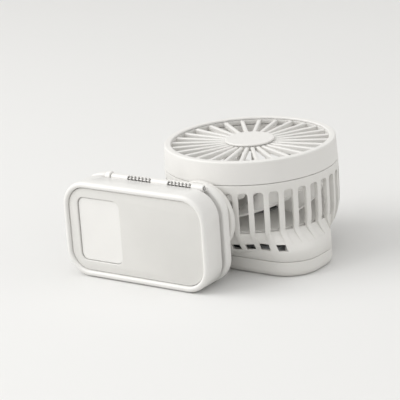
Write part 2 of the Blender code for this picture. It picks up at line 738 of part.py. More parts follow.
def make_front_grille():
    """A flat guard of radial bars, held between the duct ring and the bezel's lip."""
    bar_z = GRILLE_TOP_Z - GRILLE_THICKNESS
    rim = tube(GRILLE_OPENING + GRILLE_SKIRT, GRILLE_OPENING, bar_z, GRILLE_TOP_Z, BAR_COUNT)
    grille = make("front_grille", shape(rim), WHITE, 0.35)

    half = BAR_WIDTH / 2
    bars = [radial_prism(radians(-90 + 360 * i / BAR_COUNT), HUB_RADIUS - half, GRILLE_OPENING + GRILLE_SKIRT / 2,
                         [(-half, bar_z), (half, bar_z), (half, GRILLE_TOP_Z), (-half, GRILLE_TOP_Z)])
            for i in range(BAR_COUNT)]
    spokes = fuse(grille, "grille_bars", shape(*bars))
    fuse(spokes, "grille_hub", shape(
        tube(HUB_RADIUS, CAP_STEM + SEAT_GAP, bar_z, GRILLE_TOP_Z, BAR_COUNT)))


def make_grille_hub_cap():
    low_z = GRILLE_TOP_Z + SEAT_GAP
    top_z = low_z + CAP_HEIGHT
    stem_z = GRILLE_TOP_Z - GRILLE_THICKNESS - SEAT_GAP
    edge = CAP_HEIGHT / 2
    rim = arc(CAP_RADIUS - edge, top_z - edge, edge, edge, 0, 90, 2)
    profile = [(0, stem_z), (CAP_STEM, stem_z), (CAP_STEM, low_z), (CAP_RADIUS, low_z)] + rim + [(0, top_z)]
    make("grille_hub_cap", shape(turned(profile, BAR_COUNT)), WHITE, 0.30)


# Chamber floor and motor

def bracket_screw_spots():
    return around(BRACKET_SCREW_COUNT, BRACKET_SCREW_CIRCLE, 90)


def bowl_inner_radius(z):
    """The inside radius of the drum at a height in the bowl."""
    curve = bowl_curve(DRUM_WALL)
    for (low_radius, low_z), (high_radius, high_z) in zip(curve, curve[1:]):
        if z <= high_z:
            share = max(z - low_z, 0.0) / (high_z - low_z)
            return low_radius + (high_radius - low_radius) * share
    return curve[-1][0]


def motor_lead_spot():
    x, y = around(1, BRACKET_SCREW_CIRCLE - STATOR_NECK, -90)[0]
    return x, y


def switch_lead_spot():
    return 0.0, bowl_inner_radius(FLOOR_BASE_Z) - 2 * LEAD_RADIUS - SEAT_GAP


def make_air_guide():
    low_radius = bowl_inner_radius(FLOOR_BASE_Z) - SEAT_GAP
    high_radius = bowl_inner_radius(SLOT_FLOOR_Z) - SEAT_GAP
    profile = [(0, FLOOR_BASE_Z), (low_radius, FLOOR_BASE_Z), (high_radius, SLOT_FLOOR_Z), (0, SLOT_FLOOR_Z)]
    floor = make("air_guide", shape(turned(profile, DRUM_SEGMENTS, start=SLOT_TURN)), WHITE, 0.45)
    embed_z = FLOOR_BASE_Z + FLOOR_THICKNESS / 2
    fuse(floor, "air_guide_bosses", shape(*[
        rod(FLOOR_BOSS_RADIUS, FLOOR_BASE_Z - FLOOR_BOSS_DROP, embed_z, 8, (x, y, 0))
        for x, y in bracket_screw_spots()]))
    bore = BRACKET_SCREW_SHANK + SEAT_GAP
    lead = LEAD_RADIUS + SEAT_GAP
    top_z = SLOT_FLOOR_Z + OVERSHOOT
    bores = [rod(bore, FLOOR_BASE_Z - FLOOR_BOSS_DROP - OVERSHOOT, top_z, 8, (x, y, 0))
             for x, y in bracket_screw_spots()]
    leads = [rod(lead, FLOOR_BASE_Z - OVERSHOOT, top_z, 8, (x, y, 0))
             for x, y in (motor_lead_spot(), switch_lead_spot())]
    cut(floor, "air_guide_holes", shape(*bores, *leads))
    cut(floor, "air_guide_notch", shape(rod(
        SWIVEL_BOSS_RADIUS + SEAT_GAP, -DRUM_RADIUS, -BOSS_BACK_Y + SEAT_GAP, 20, (0, 0, SWIVEL_Z), "Y")))


def make_motor_bracket():
    tube_top_z = BRACKET_TOP_Z + BRACKET_TUBE_HEIGHT
    bore_z = BRACKET_TOP_Z - BRACKET_THICKNESS / 2
    profile = [(0, BRACKET_Z), (BRACKET_RADIUS, BRACKET_Z), (BRACKET_RADIUS, BRACKET_TOP_Z),
               (BRACKET_TUBE, BRACKET_TOP_Z), (BRACKET_TUBE, tube_top_z), (BRACKET_BORE, tube_top_z),
               (BRACKET_BORE, bore_z), (0, bore_z)]
    bracket = make("motor_bracket", shape(turned(profile, 20)), SOFT_GREY, 0.5)
    holes = [rod(BRACKET_SCREW_SHANK + SEAT_GAP, BRACKET_Z - OVERSHOOT, BRACKET_TOP_Z + OVERSHOOT, 8, (x, y, 0))
             for x, y in bracket_screw_spots()]
    x, y = motor_lead_spot()
    holes.append(rod(LEAD_RADIUS + SEAT_GAP, BRACKET_Z - OVERSHOOT, BRACKET_TOP_Z + OVERSHOOT, 8, (x, y, 0)))
    cut(bracket, "bracket_holes", shape(*holes))


def make_bracket_screws():
    for number, (x, y) in enumerate(bracket_screw_spots(), 1):
        body = screw(BRACKET_SCREW_HEAD, BRACKET_SCREW_HEAD_HEIGHT, BRACKET_SCREW_SHANK,
                     BRACKET_SCREW_LENGTH, (x, y, BRACKET_TOP_Z + SEAT_GAP), "Z", -1)
        make(f"bracket_screw_{number}", shape(body), STEEL, 0.3, 1.0)


def make_stator():
    low_z = BRACKET_TOP_Z + STATOR_LIFT
    top_z = low_z + STATOR_HEIGHT
    core = make("stator", shape(
        tube(STATOR_HUB, BRACKET_TUBE + SEAT_GAP, low_z, top_z, 18)), COPPER, 0.4, 0.6)
    half = STATOR_NECK / 2
    neck = [(-half, low_z), (half, low_z), (half, top_z), (-half, top_z)]
    shoe_reach = STATOR_RADIUS * sin(pi / STATOR_POLES) * 0.75
    shoe = [(-shoe_reach, low_z), (shoe_reach, low_z), (shoe_reach, top_z), (-shoe_reach, top_z)]
    necks, shoes = [], []
    for i in range(STATOR_POLES):
        angle = radians(30 + 360 * i / STATOR_POLES)
        necks.append(radial_prism(angle, STATOR_HUB - half, STATOR_RADIUS - half, neck))
        shoes.append(radial_prism(angle, STATOR_RADIUS - half - SEAT_GAP, STATOR_RADIUS * cos(0.45), shoe))
    fuse(core, "stator_necks", shape(*necks))
    fuse(core, "stator_shoes", shape(*shoes))


def make_sleeve_bearing():
    start_z = shaft_low_z() + 2 * SEAT_GAP + RETAINER_THICKNESS + SEAT_GAP
    body = tube(BRACKET_BORE - RUN_GAP, SHAFT_RADIUS + RUN_GAP, start_z, start_z + BEARING_LENGTH, 16)
    make("sleeve_bearing", shape(body), BRASS, 0.35, 1.0)


def shaft_low_z():
    return BRACKET_TOP_Z - BRACKET_THICKNESS / 2 + SEAT_GAP


def make_rotor(axis):
    shaft_top_z = shaft_low_z() + SHAFT_LENGTH
    make("rotor_shaft", shape(rod(SHAFT_RADIUS, shaft_low_z(), shaft_top_z, 12)), STEEL, 0.25, 1.0, axis)
    ring_z = shaft_low_z() + 2 * SEAT_GAP
    make("shaft_retainer", shape(
        tube(BRACKET_BORE - RUN_GAP, SHAFT_RADIUS + RUN_GAP, ring_z, ring_z + RETAINER_THICKNESS, 12)),
         STEEL, 0.3, 1.0, axis)
    magnet_top_z = ROTOR_TOP_Z - ROTOR_WALL - SEAT_GAP - 0.0016
    make("rotor_magnet", shape(
        tube(MAGNET_RADIUS, MAGNET_RADIUS - MAGNET_WALL, magnet_top_z - MAGNET_HEIGHT, magnet_top_z, HUB_SEGMENTS)),
         MAGNET_GREY, 0.4, 0.5, axis)
    make_impeller(axis, shaft_top_z)


def blade(start_angle):
    """One twisted blade. It rises as it goes round, and it thins towards both of its edges."""
    chord_steps, span_steps = 5, 2
    root = ROTOR_RADIUS - ROTOR_WALL / 2
    upper, lower = [], []
    for k in range(span_steps + 1):
        radius = root + (BLADE_TIP_RADIUS - root) * k / span_steps
        top_row, low_row = [], []
        for i in range(chord_steps + 1):
            s = i / chord_steps
            angle = radians(start_angle + BLADE_SWEEP * s)
            height = BLADE_LOW_Z + BLADE_RISE * s
            half = BLADE_THICKNESS / 2 * (0.35 + 0.65 * sin(pi * s))
            spot = (radius * cos(angle), radius * sin(angle))
            top_row.append((*spot, height + half))
            low_row.append((*spot, height - half))
        upper.append(top_row)
        lower.append(low_row)
    return slab(upper, lower)


def make_impeller(axis, shaft_top_z):
    """A hub cup over the magnet, with blades that rise anticlockwise seen from above."""
    inner = ROTOR_RADIUS - ROTOR_WALL
    ceiling_z = ROTOR_TOP_Z - ROTOR_WALL
    bore = SHAFT_RADIUS + RUN_GAP
    bore_top_z = shaft_top_z + SEAT_GAP
    boss_z = shaft_top_z - 0.0020
    edge = ROTOR_WALL
    crown = arc(ROTOR_RADIUS - edge, ROTOR_TOP_Z - edge, edge, edge, 0, 90, 2)
    profile = [(inner, ROTOR_BASE_Z), (ROTOR_RADIUS, ROTOR_BASE_Z)] + crown + [
        (0, ROTOR_TOP_Z), (0, bore_top_z), (bore, bore_top_z), (bore, boss_z), (ROTOR_BOSS, boss_z),
        (ROTOR_BOSS, ceiling_z), (inner, ceiling_z)]
    hub = make("impeller", shape(hub_shape(profile)), CLEAR_WHITE, 0.35, 0.0, axis)
    fuse(hub, "impeller_blades", shape(*[
        blade(-90 + BLADE_START + 360 * i / BLADE_COUNT) for i in range(BLADE_COUNT)]))


def hub_shape(profile):
    """The cup's profile starts and ends away from the axis and touches it in between."""
    first = next(k for k, (r, _) in enumerate(profile) if r <= 0)
    reordered = profile[first + 1:] + profile[:first + 1]
    return turned(reordered, HUB_SEGMENTS)


# Battery, boards, socket and leads

def battery_ends():
    """The battery fills the base from the control board to the screw bosses at the far end."""
    boss_x = max(x for x, y in case_screw_spots())
    return (board_left_x() + BOARD_LENGTH + BATTERY_BOARD_GAP,
            boss_x - CASE_BOSS_RADIUS - BATTERY_END_GAP)


def make_battery():
    pad_z = BASE_FLOOR + SEAT_GAP
    cell_z = pad_z + PAD_THICKNESS + SEAT_GAP
    start_x, end_x = battery_ends()
    centre_x, half_length = (start_x + end_x) / 2, (end_x - start_x) / 2
    half_width = BASE_HALF_WIDTH - BASE_WALL - LIP_WALL - BATTERY_SIDE_GAP
    pad = rounded_outline(half_length, half_width, BATTERY_CORNER, 0.002, 2)
    make("battery_pad", shape(loft([
        [(centre_x + x, BASE_CENTRE_Y + y, z) for x, y in pad]
        for z in (pad_z, pad_z + PAD_THICKNESS)])), SOFT_GREY, 0.9)
    rings = []
    edge = BATTERY_CORNER
    for inset, z in ((edge, 0), (0, edge), (0, BATTERY_THICKNESS - edge), (edge, BATTERY_THICKNESS)):
        outline = rounded_outline(half_length, half_width, 2 * BATTERY_CORNER, inset, 3)
        rings.append([(centre_x + x, BASE_CENTRE_Y + y, cell_z + z) for x, y in outline])
    make("battery_cell", shape(loft(rings)), CELL_SILVER, 0.3, 0.8)


def make_control_board():
    left_x = board_left_x()
    half = board_half_width()
    make("control_board", shape(block(
        (left_x, BASE_CENTRE_Y - half, BOARD_Z),
        (left_x + BOARD_LENGTH, BASE_CENTRE_Y + half, BOARD_Z + BOARD_THICKNESS))), BOARD_GREEN, 0.5)


def make_charging_socket():
    start_x = -BASE_HALF_LENGTH + SOCKET_SETBACK
    end_x = start_x + SOCKET_LENGTH
    half_y, half_z = SOCKET_WIDTH / 2, SOCKET_HEIGHT / 2

    def ring(inset, x):
        outline = rounded_outline(half_y, half_z, half_z, inset, 4)
        return [(x, BASE_CENTRE_Y + y, socket_z() + z) for y, z in outline]

    deep_x = end_x - 2 * SOCKET_WALL
    rings = [ring(0, end_x), ring(0, start_x), ring(SOCKET_WALL, start_x), ring(SOCKET_WALL, deep_x)]
    make("charging_socket", shape(loft(rings)), STEEL, 0.3, 1.0)


def lead(name, points, colour):
    """A thin insulated lead on one smooth curve through its points."""
    curve = bpy.data.curves.new(name, "CURVE")
    curve.dimensions = "3D"
    curve.bevel_depth = LEAD_RADIUS
    curve.bevel_resolution = 1
    curve.use_fill_caps = True
    smooth = smooth_path([Vector(p) for p in points], 3)
    spline = curve.splines.new("POLY")
    spline.points.add(len(smooth) - 1)
    for spot, place in zip(spline.points, smooth):
        spot.co = (*place, 1.0)
    made = bpy.data.objects.new(name, curve)
    curve.materials.append(material(name, colour, 0.5))
    bpy.context.scene.collection.objects.link(made)


def smooth_path(points, steps):
    """Catmull-Rom points through the given points."""
    path = []
    ends = [2 * points[0] - points[1]] + points + [2 * points[-1] - points[-2]]
    for a, b, c, d in zip(ends, ends[1:], ends[2:], ends[3:]):
        for i in range(steps):
            t = i / steps
            path.append(0.5 * ((2 * b) + (c - a) * t + (2 * a - 5 * b + 4 * c - d) * t ** 2
                               + (3 * b - a - 3 * c + d) * t ** 3))
    return path + [points[-1]]


def battery_top_z():
    return BASE_FLOOR + PAD_THICKNESS + BATTERY_THICKNESS + 2 * SEAT_GAP


def make_leads():
    """Each lead runs over the battery and ends on the control board's upper face."""
    solder_x = board_left_x() + BOARD_LENGTH - LEAD_SPACING
    solder_z = BOARD_Z + BOARD_THICKNESS + SEAT_GAP + LEAD_RADIUS
    over_z = battery_top_z() + 2 * SEAT_GAP + LEAD_RADIUS
    high_z = over_z + LEAD_REST
    cell_x = battery_ends()[0]
    drop_x = (cell_x + solder_x) / 2
    drop_z = solder_z + LEAD_REST
    below_z = FLOOR_BASE_Z - 2 * LEAD_REST

    def run_down(y):
        return [(cell_x, y, high_z), (drop_x, y, drop_z), (solder_x, y, solder_z)]

    x, y = motor_lead_spot()
    end_y = BASE_CENTRE_Y
    lead("motor_lead", [
        (x, y, BRACKET_TOP_Z + STATOR_LIFT - SEAT_GAP), (x, y, SLOT_FLOOR_Z), (x, y, FLOOR_BASE_Z - RUN_GAP),
        (x, y - LEAD_RADIUS, below_z),
        (x - 2 * LEAD_SPACING, end_y, high_z)] + run_down(end_y), BLACK)

    x, y = switch_lead_spot()
    end_y = BASE_CENTRE_Y + LEAD_SPACING
    lead("switch_lead", [
        (x, y, BUTTON_Z - BUTTON_BOARD_RADIUS - SEAT_GAP), (x, y, SLOT_FLOOR_Z), (x, y, FLOOR_BASE_Z - RUN_GAP),
        (x, y - LEAD_RADIUS, below_z), (x, y - LEAD_SPACING, (below_z + high_z) / 2),
        (x - LEAD_SPACING, y - 3 * LEAD_SPACING, high_z), (x - 3 * LEAD_SPACING, (y + end_y) / 2, high_z),
        (x - 4 * LEAD_SPACING, end_y, high_z)] + run_down(end_y), BLACK)

    end_y = BASE_CENTRE_Y - LEAD_SPACING
    lead("battery_lead", [(cell_x + LEAD_SPACING, end_y, over_z)] + run_down(end_y), BLACK)


# Power button

def button_step_y():
    """The shoulder in the button's bore that its flange rests against."""
    return BOSS_BACK_Y + SWITCH_THICKNESS + BUTTON_TRAVEL + BUTTON_FLANGE_THICKNESS + 3 * SEAT_GAP


def make_power_button(axis):
    shoulder_y = button_step_y() - SEAT_GAP
    back_y = shoulder_y - BUTTON_FLANGE_THICKNESS
    face_y = BOSS_FACE_Y + BUTTON_PROUD
    profile = [(0, back_y), (BUTTON_FLANGE, back_y), (BUTTON_FLANGE, shoulder_y), (BUTTON_RADIUS, shoulder_y),
               (BUTTON_RADIUS, face_y - BUTTON_DOME), (BUTTON_RADIUS - BUTTON_DOME, face_y), (0, face_y)]
    make("power_button", shape(turned(profile, 24, (0, 0, BUTTON_Z), "Y")), WHITE, 0.3, 0.0, axis)


def make_button_board():
    front_y = BOSS_BACK_Y - SEAT_GAP
    back_y = front_y - BUTTON_BOARD_THICKNESS
    make("button_board", shape(rod(BUTTON_BOARD_RADIUS, back_y, front_y, 20, (0, 0, BUTTON_Z), "Y")),
         BOARD_GREEN, 0.5)
    half = SWITCH_SIZE / 2
    start_y = front_y + SEAT_GAP
    make("button_switch", shape(block(
        (-half, start_y, BUTTON_Z - half), (half, start_y + SWITCH_THICKNESS, BUTTON_Z + half))),
         BLACK, 0.5)


# Swivel

def swivel_screw_spots():
    return around(DISC_SCREW_COUNT, DISC_SCREW_CIRCLE, 90)


def make_swivel(axis):
    recess = SWIVEL_BOSS_RADIUS + 2 * SEAT_GAP
    web_y = DISC_FRONT_Y + SWIVEL_WEB
    edge = SWIVEL_EDGE
    bore = AXLE_RADIUS + SEAT_GAP
    profile = [(bore, DISC_FRONT_Y), (bore, web_y), (recess, web_y), (recess, DISC_BACK_Y),
               (SWIVEL_RADIUS - edge, DISC_BACK_Y), (SWIVEL_RADIUS, DISC_BACK_Y - edge),
               (SWIVEL_RADIUS, DISC_FRONT_Y)]
    disc = make("swivel_disc", shape(turned(profile, 32, (0, 0, SWIVEL_Z), "Y")), WHITE, 0.4, 0.0, axis)
    head = DISC_SCREW_HEAD + SEAT_GAP
    shank = DISC_SCREW_SHANK + SEAT_GAP
    seat_y = disc_screw_seat_y()
    hole = [(0, DISC_FRONT_Y - OVERSHOOT), (shank, DISC_FRONT_Y - OVERSHOOT), (shank, seat_y),
            (head, seat_y), (head, DISC_BACK_Y + OVERSHOOT), (0, DISC_BACK_Y + OVERSHOOT)]
    cut(disc, "disc_screw_holes", shape(*[
        turned(hole, 8, (x, 0, SWIVEL_Z + z), "Y") for x, z in swivel_screw_spots()]))

    start_y = PLATE_BACK_Y
    end_y = -BOSS_BACK_Y + SEAT_GAP + NUT_THICKNESS + SEAT_GAP
    axle = [(0, start_y - AXLE_HEAD_HEIGHT), (AXLE_HEAD_RADIUS, start_y - AXLE_HEAD_HEIGHT),
            (AXLE_HEAD_RADIUS, start_y), (AXLE_RADIUS, start_y), (AXLE_RADIUS, end_y), (0, end_y)]
    make("swivel_axle", shape(turned(axle, 16, (0, 0, SWIVEL_Z), "Y")), STEEL, 0.3, 1.0, axis)
    nut_y = -BOSS_BACK_Y + SEAT_GAP
    nut = make("swivel_nut", shape(rod(NUT_RADIUS, nut_y, nut_y + NUT_THICKNESS, 6, (0, 0, SWIVEL_Z), "Y")),
               STEEL, 0.3, 1.0, axis)
    cut(nut, "swivel_nut_bore", shape(rod(
        AXLE_RADIUS + RUN_GAP, nut_y - OVERSHOOT, nut_y + NUT_THICKNESS + OVERSHOOT, 12,
        (0, 0, SWIVEL_Z), "Y")))
    washer_y = -BOSS_FACE_Y - SEAT_GAP
    make("friction_washer", shape(tube(
        WASHER_RADIUS, AXLE_RADIUS + RUN_GAP, washer_y - WASHER_THICKNESS, washer_y, 20,
        (0, 0, SWIVEL_Z), "Y")), STEEL, 0.35, 1.0, axis)
    for number, (x, z) in enumerate(swivel_screw_spots(), 1):
        body = screw(DISC_SCREW_HEAD, DISC_SCREW_HEAD_HEIGHT, DISC_SCREW_SHANK, DISC_SCREW_LENGTH,
                     (x, seat_y + SEAT_GAP, SWIVEL_Z + z), "Y", -1)
        make(f"disc_screw_{number}", shape(body), STEEL, 0.3, 1.0, axis)


def disc_screw_seat_y():
    return DISC_BACK_Y - DISC_SCREW_HEAD_HEIGHT - 2 * SEAT_GAP


# Clip: rear plate

def hinge_rod(radius, start_x, end_x, segments=12):
    return rod(radius, start_x, end_x, segments, (0, HINGE_Y, HINGE_Z), "X")


def spring_hooks():
    """Where each spring's two legs hook in: the rear plate's point, then the jaw's."""
    low_z = HINGE_Z - SPRING_LEG
    return [((start + SPRING_WIRE, low_z), (end - SPRING_WIRE, low_z)) for start, end in SPRING_SPANS]


def make_rear_plate(axis):
    edge = PLATE_EDGE
    rings = []
    for reach, y in arc(0, PLATE_FRONT_Y + edge, edge, edge, -90, 0, 2):
        rings.append(clip_ring(edge - reach, y))
    for reach, y in arc(0, PLATE_BACK_Y - edge, edge, edge, 0, 90, 2):
        rings.append(clip_ring(edge - reach, y))
    plate = make("clip_rear_plate", shape(loft(rings)), WHITE, 0.42, 0.0, axis)
    land_z = CLIP_BOTTOM_Z + GRIP_LIFT + GRIP_HEIGHT + LAND_ABOVE_GRIP
    fuse(plate, "strap_land", shape(block(
        (CLIP_CENTRE_X - LAND_LENGTH / 2, PLATE_FRONT_Y - LAND_RISE, land_z),
        (CLIP_CENTRE_X + LAND_LENGTH / 2, PLATE_FRONT_Y + edge, land_z + LAND_HEIGHT))))

    webs = [block((start, HINGE_Y, HINGE_Z - KNUCKLE_WEB), (end, PLATE_FRONT_Y + edge, HINGE_Z - SEAT_GAP))
            for start, end in REAR_KNUCKLES]
    fuse(plate, "rear_knuckle_webs", shape(*webs))
    fuse(plate, "rear_knuckles", shape(*[hinge_rod(BARREL_RADIUS, *span) for span in REAR_KNUCKLES]))
    bore = PIN_RADIUS + SEAT_GAP
    tools = [hinge_rod(bore, start - OVERSHOOT, end + OVERSHOOT, 10) for start, end in REAR_KNUCKLES]
    knob_end_x = REAR_KNUCKLES[0][0] - SEAT_GAP / 2
    tools[0] = hinge_rod(bore, knob_end_x, REAR_KNUCKLES[0][1] + OVERSHOOT, 10)
    cut(plate, "rear_knuckle_bores", shape(*tools))
    cut(plate, "rear_knob_pocket", shape(knob_pocket(knob_end_x)))

    recess = AXLE_HEAD_RADIUS + SEAT_GAP
    recess_y = PLATE_BACK_Y - AXLE_HEAD_HEIGHT - SEAT_GAP
    pilot = DISC_SCREW_SHANK + SEAT_GAP
    pilot_y = disc_screw_seat_y() - DISC_SCREW_LENGTH - SEAT_GAP
    tools = [rod(recess, recess_y, PLATE_BACK_Y + OVERSHOOT, 20, (0, 0, SWIVEL_Z), "Y")]
    tools += [rod(pilot, pilot_y, PLATE_BACK_Y + OVERSHOOT, 8, (x, 0, SWIVEL_Z + z), "Y")
              for x, z in swivel_screw_spots()]
    hook = SPRING_WIRE + SEAT_GAP
    tools += [rod(hook, PLATE_FRONT_Y - OVERSHOOT, HINGE_Y + SPRING_COIL_RADIUS + SPRING_HOOK + SEAT_GAP, 6,
                  (rear[0], 0, rear[1]), "Y") for rear, _ in spring_hooks()]
    cut(plate, "rear_plate_holes", shape(*tools))


def knob_pocket(end_x):
    start_x = end_x - KNOB_LENGTH - 2 * SEAT_GAP
    return hinge_rod(KNOB_RADIUS + SEAT_GAP, start_x, end_x, 16)


def make_hinge_pin(axis):
    knob_end_x = REAR_KNUCKLES[0][0] - SEAT_GAP
    knob_start_x = knob_end_x - KNOB_LENGTH
    tip_x = REAR_KNUCKLES[1][1] + SEAT_GAP
    edge = KNOB_LENGTH / 3
    dome = arc(knob_start_x + edge, KNOB_RADIUS - edge, edge, edge, 180, 90, 2)
    profile = [(0, knob_start_x)] + [(r, x) for x, r in dome] + [
        (KNOB_RADIUS, knob_end_x), (PIN_RADIUS, knob_end_x), (PIN_RADIUS, tip_x), (0, tip_x)]
    make("hinge_pin", shape(turned(profile, 12, (0, HINGE_Y, HINGE_Z), "X")), STEEL, 0.3, 1.0, axis)


def spring_path(span, rear_hook, jaw_hook):
    """A torsion spring's centre line: hook, leg, coil round the pin, leg and hook."""
    start_x, end_x = span[0] + SPRING_WIRE, span[1] - SPRING_WIRE
    bend = 3 * SPRING_WIRE
    rear_y, jaw_y = HINGE_Y + SPRING_COIL_RADIUS, HINGE_Y - SPRING_COIL_RADIUS
    points = [Vector((start_x, rear_y + SPRING_HOOK, rear_hook[1]))]
    points += [Vector((start_x, y, z)) for y, z in
               arc(rear_y + bend, rear_hook[1] + bend, bend, bend, 270, 180, 3)]
    count = round(SPRING_TURNS * SPRING_POINTS_PER_TURN) + SPRING_POINTS_PER_TURN // 2
    for i in range(count + 1):
        angle = 2 * pi * i / SPRING_POINTS_PER_TURN
        x = start_x + (end_x - start_x) * i / count
        points.append(Vector((x, HINGE_Y + SPRING_COIL_RADIUS * cos(angle),
                              HINGE_Z + SPRING_COIL_RADIUS * sin(angle))))
    points += [Vector((end_x, y, z)) for y, z in
               arc(jaw_y - bend, jaw_hook[1] + bend, bend, bend, 0, -90, 3)]
    points.append(Vector((end_x, jaw_y - SPRING_HOOK, jaw_hook[1])))
    return points


def least_gap(points, wire, apart):
    """The narrowest gap between parts of a wire that are more than a number of points apart."""
    gaps = [(points[i] - points[j]).length for i in range(len(points))
            for j in range(i + apart, len(points))]
    return min(gaps) - 2 * wire


def make_springs(axis):
    for side, span, (rear, jaw) in zip(("left", "right"), SPRING_SPANS, spring_hooks()):
        name = f"clip_spring_{side}"
        points = spring_path(span, rear, jaw)
        gap = least_gap(points, SPRING_WIRE, SPRING_POINTS_PER_TURN - 1)
        print(f"{name}: least gap between turns {gap * 1000:.2f} mm")
        curve = bpy.data.curves.new(name, "CURVE")
        curve.dimensions = "3D"
        curve.bevel_depth = SPRING_WIRE
        curve.bevel_resolution = 1
        curve.use_fill_caps = True
        spline = curve.splines.new("POLY")
        spline.points.add(len(points) - 1)
        for spot, place in zip(spline.points, points):
            spot.co = (*(place - axis.location), 1.0)
        made = bpy.data.objects.new(name, curve)
        made.parent = axis
        curve.materials.append(material(name, STEEL, 0.3, 1.0))
        bpy.context.scene.collection.objects.link(made)


# Clip: jaw

def make_jaw_shell(axis):
    """A deep tray with a rounded bead round its face, and a web between the face panel and the hollow."""
    seat_inset = BEAD_WIDTH
    edge = BEAD_ROUND
    rings = [clip_ring(JAW_WALL, CAVITY_Y), clip_ring(JAW_WALL, JAW_BACK_Y),
             clip_ring(SEAT_GAP, JAW_BACK_Y), clip_ring(0, JAW_BACK_Y - SEAT_GAP)]
    for reach, y in arc(0, JAW_FRONT_Y + edge, edge, edge, 0, -90, 2):
        rings.append(clip_ring(edge - reach, y))
    inner = (BEAD_WIDTH - BEAD_ROUND) * 0.8
    for reach, y in arc(BEAD_WIDTH - inner, JAW_FRONT_Y + inner, inner, inner, -90, 0, 1):
        rings.append(clip_ring(reach, y))
    rings.append(clip_ring(seat_inset, PANEL_SEAT_Y))
    shell = make("jaw_shell", shape(loft(rings)), WHITE, 0.38, 0.0, axis)

    start, end = JAW_KNUCKLE
    fuse(shell, "jaw_knuckle_web", shape(block(
        (start, JAW_BACK_Y - JAW_WALL, HINGE_Z - min(KNUCKLE_WEB, JAW_WALL - SEAT_GAP)),
        (end, HINGE_Y, HINGE_Z - SEAT_GAP))))
    fuse(shell, "jaw_knuckle", shape(hinge_rod(BARREL_RADIUS, start, end)))
    knob_end_x = REAR_KNUCKLES[0][0] - SEAT_GAP / 2
    cut(shell, "jaw_knuckle_bore", shape(hinge_rod(PIN_RADIUS + SEAT_GAP, start - OVERSHOOT, end + OVERSHOOT, 10)))
    cut(shell, "jaw_knob_pocket", shape(knob_pocket(knob_end_x)))

    boss_y = back_cover_inner_y() - SEAT_GAP
    fuse(shell, "jaw_bosses", shape(*[
        rod(JAW_BOSS_RADIUS, CAVITY_Y - JAW_WEB / 2, boss_y, 10, (x, 0, z), "Y") for x, z in jaw_screw_spots()]))
    cut(shell, "jaw_boss_bores", shape(*[
        rod(JAW_SCREW_SHANK + SEAT_GAP, boss_y - JAW_SCREW_LENGTH, boss_y + OVERSHOOT, 8, (x, 0, z), "Y")
        for x, z in jaw_screw_spots()]))


def back_cover_inner_y():
    return JAW_BACK_Y - BACK_COVER_THICKNESS


def jaw_screw_spots():
    reach_x = CLIP_LENGTH / 2 - JAW_SCREW_INSET
    reach_z = CLIP_HEIGHT / 2 - JAW_SCREW_INSET
    return [(CLIP_CENTRE_X + sx * reach_x, CLIP_CENTRE_Z + sz * reach_z) for sx in (-1, 1) for sz in (-1, 1)]


def make_jaw_back_cover(axis):
    inset = JAW_WALL + SEAT_GAP
    face_y = JAW_BACK_Y - SEAT_GAP / 2
    cover = make("jaw_back_cover", shape(loft([
        clip_ring(inset, back_cover_inner_y()), clip_ring(inset, face_y - SEAT_GAP),
        clip_ring(inset + SEAT_GAP, face_y)])), WHITE, 0.42, 0.0, axis)
    head, shank = JAW_SCREW_HEAD + SEAT_GAP, JAW_SCREW_SHANK + SEAT_GAP
    seat_y = jaw_screw_seat_y()
    hole = [(0, back_cover_inner_y() - OVERSHOOT), (shank, back_cover_inner_y() - OVERSHOOT), (shank, seat_y),
            (head, seat_y), (head, JAW_BACK_Y + OVERSHOOT), (0, JAW_BACK_Y + OVERSHOOT)]
    tools = [turned(hole, 8, (x, 0, z), "Y") for x, z in jaw_screw_spots()]
    hook = SPRING_WIRE + SEAT_GAP
    tools += [rod(hook, HINGE_Y - SPRING_COIL_RADIUS - SPRING_HOOK - OVERSHOOT, JAW_BACK_Y + OVERSHOOT, 6,
                  (jaw[0], 0, jaw[1]), "Y") for _, jaw in spring_hooks()]
    cut(cover, "back_cover_holes", shape(*tools))


def jaw_screw_seat_y():
    return JAW_BACK_Y - SEAT_GAP - JAW_SCREW_HEAD_HEIGHT


def make_jaw_screws(axis):
    for number, (x, z) in enumerate(jaw_screw_spots(), 1):
        body = screw(JAW_SCREW_HEAD, JAW_SCREW_HEAD_HEIGHT, JAW_SCREW_SHANK, JAW_SCREW_LENGTH,
                     (x, jaw_screw_seat_y() + SEAT_GAP / 2, z), "Y", -1)
        make(f"jaw_screw_{number}", shape(body), STEEL, 0.3, 1.0, axis)


def make_face_panel(axis):
    inset = BEAD_WIDTH + SEAT_GAP
    back_y = PANEL_SEAT_Y - SEAT_GAP
    face_y = back_y - PANEL_THICKNESS
    panel = make("face_panel", shape(loft([
        clip_ring(inset, back_y), clip_ring(inset, face_y + SEAT_GAP),
        clip_ring(inset + SEAT_GAP, face_y)])), PANEL_GREY, 0.5, 0.0, axis)
    cut(panel, "panel_window", shape(loft([
        window_ring(0, face_y - OVERSHOOT), window_ring(0, back_y + OVERSHOOT)])))
    make("window_plate", shape(loft([
        window_ring(SEAT_GAP, back_y), window_ring(SEAT_GAP, back_y - WINDOW_PLATE_THICKNESS)])),
         PALE_INSERT, 0.35, 0.0, axis)


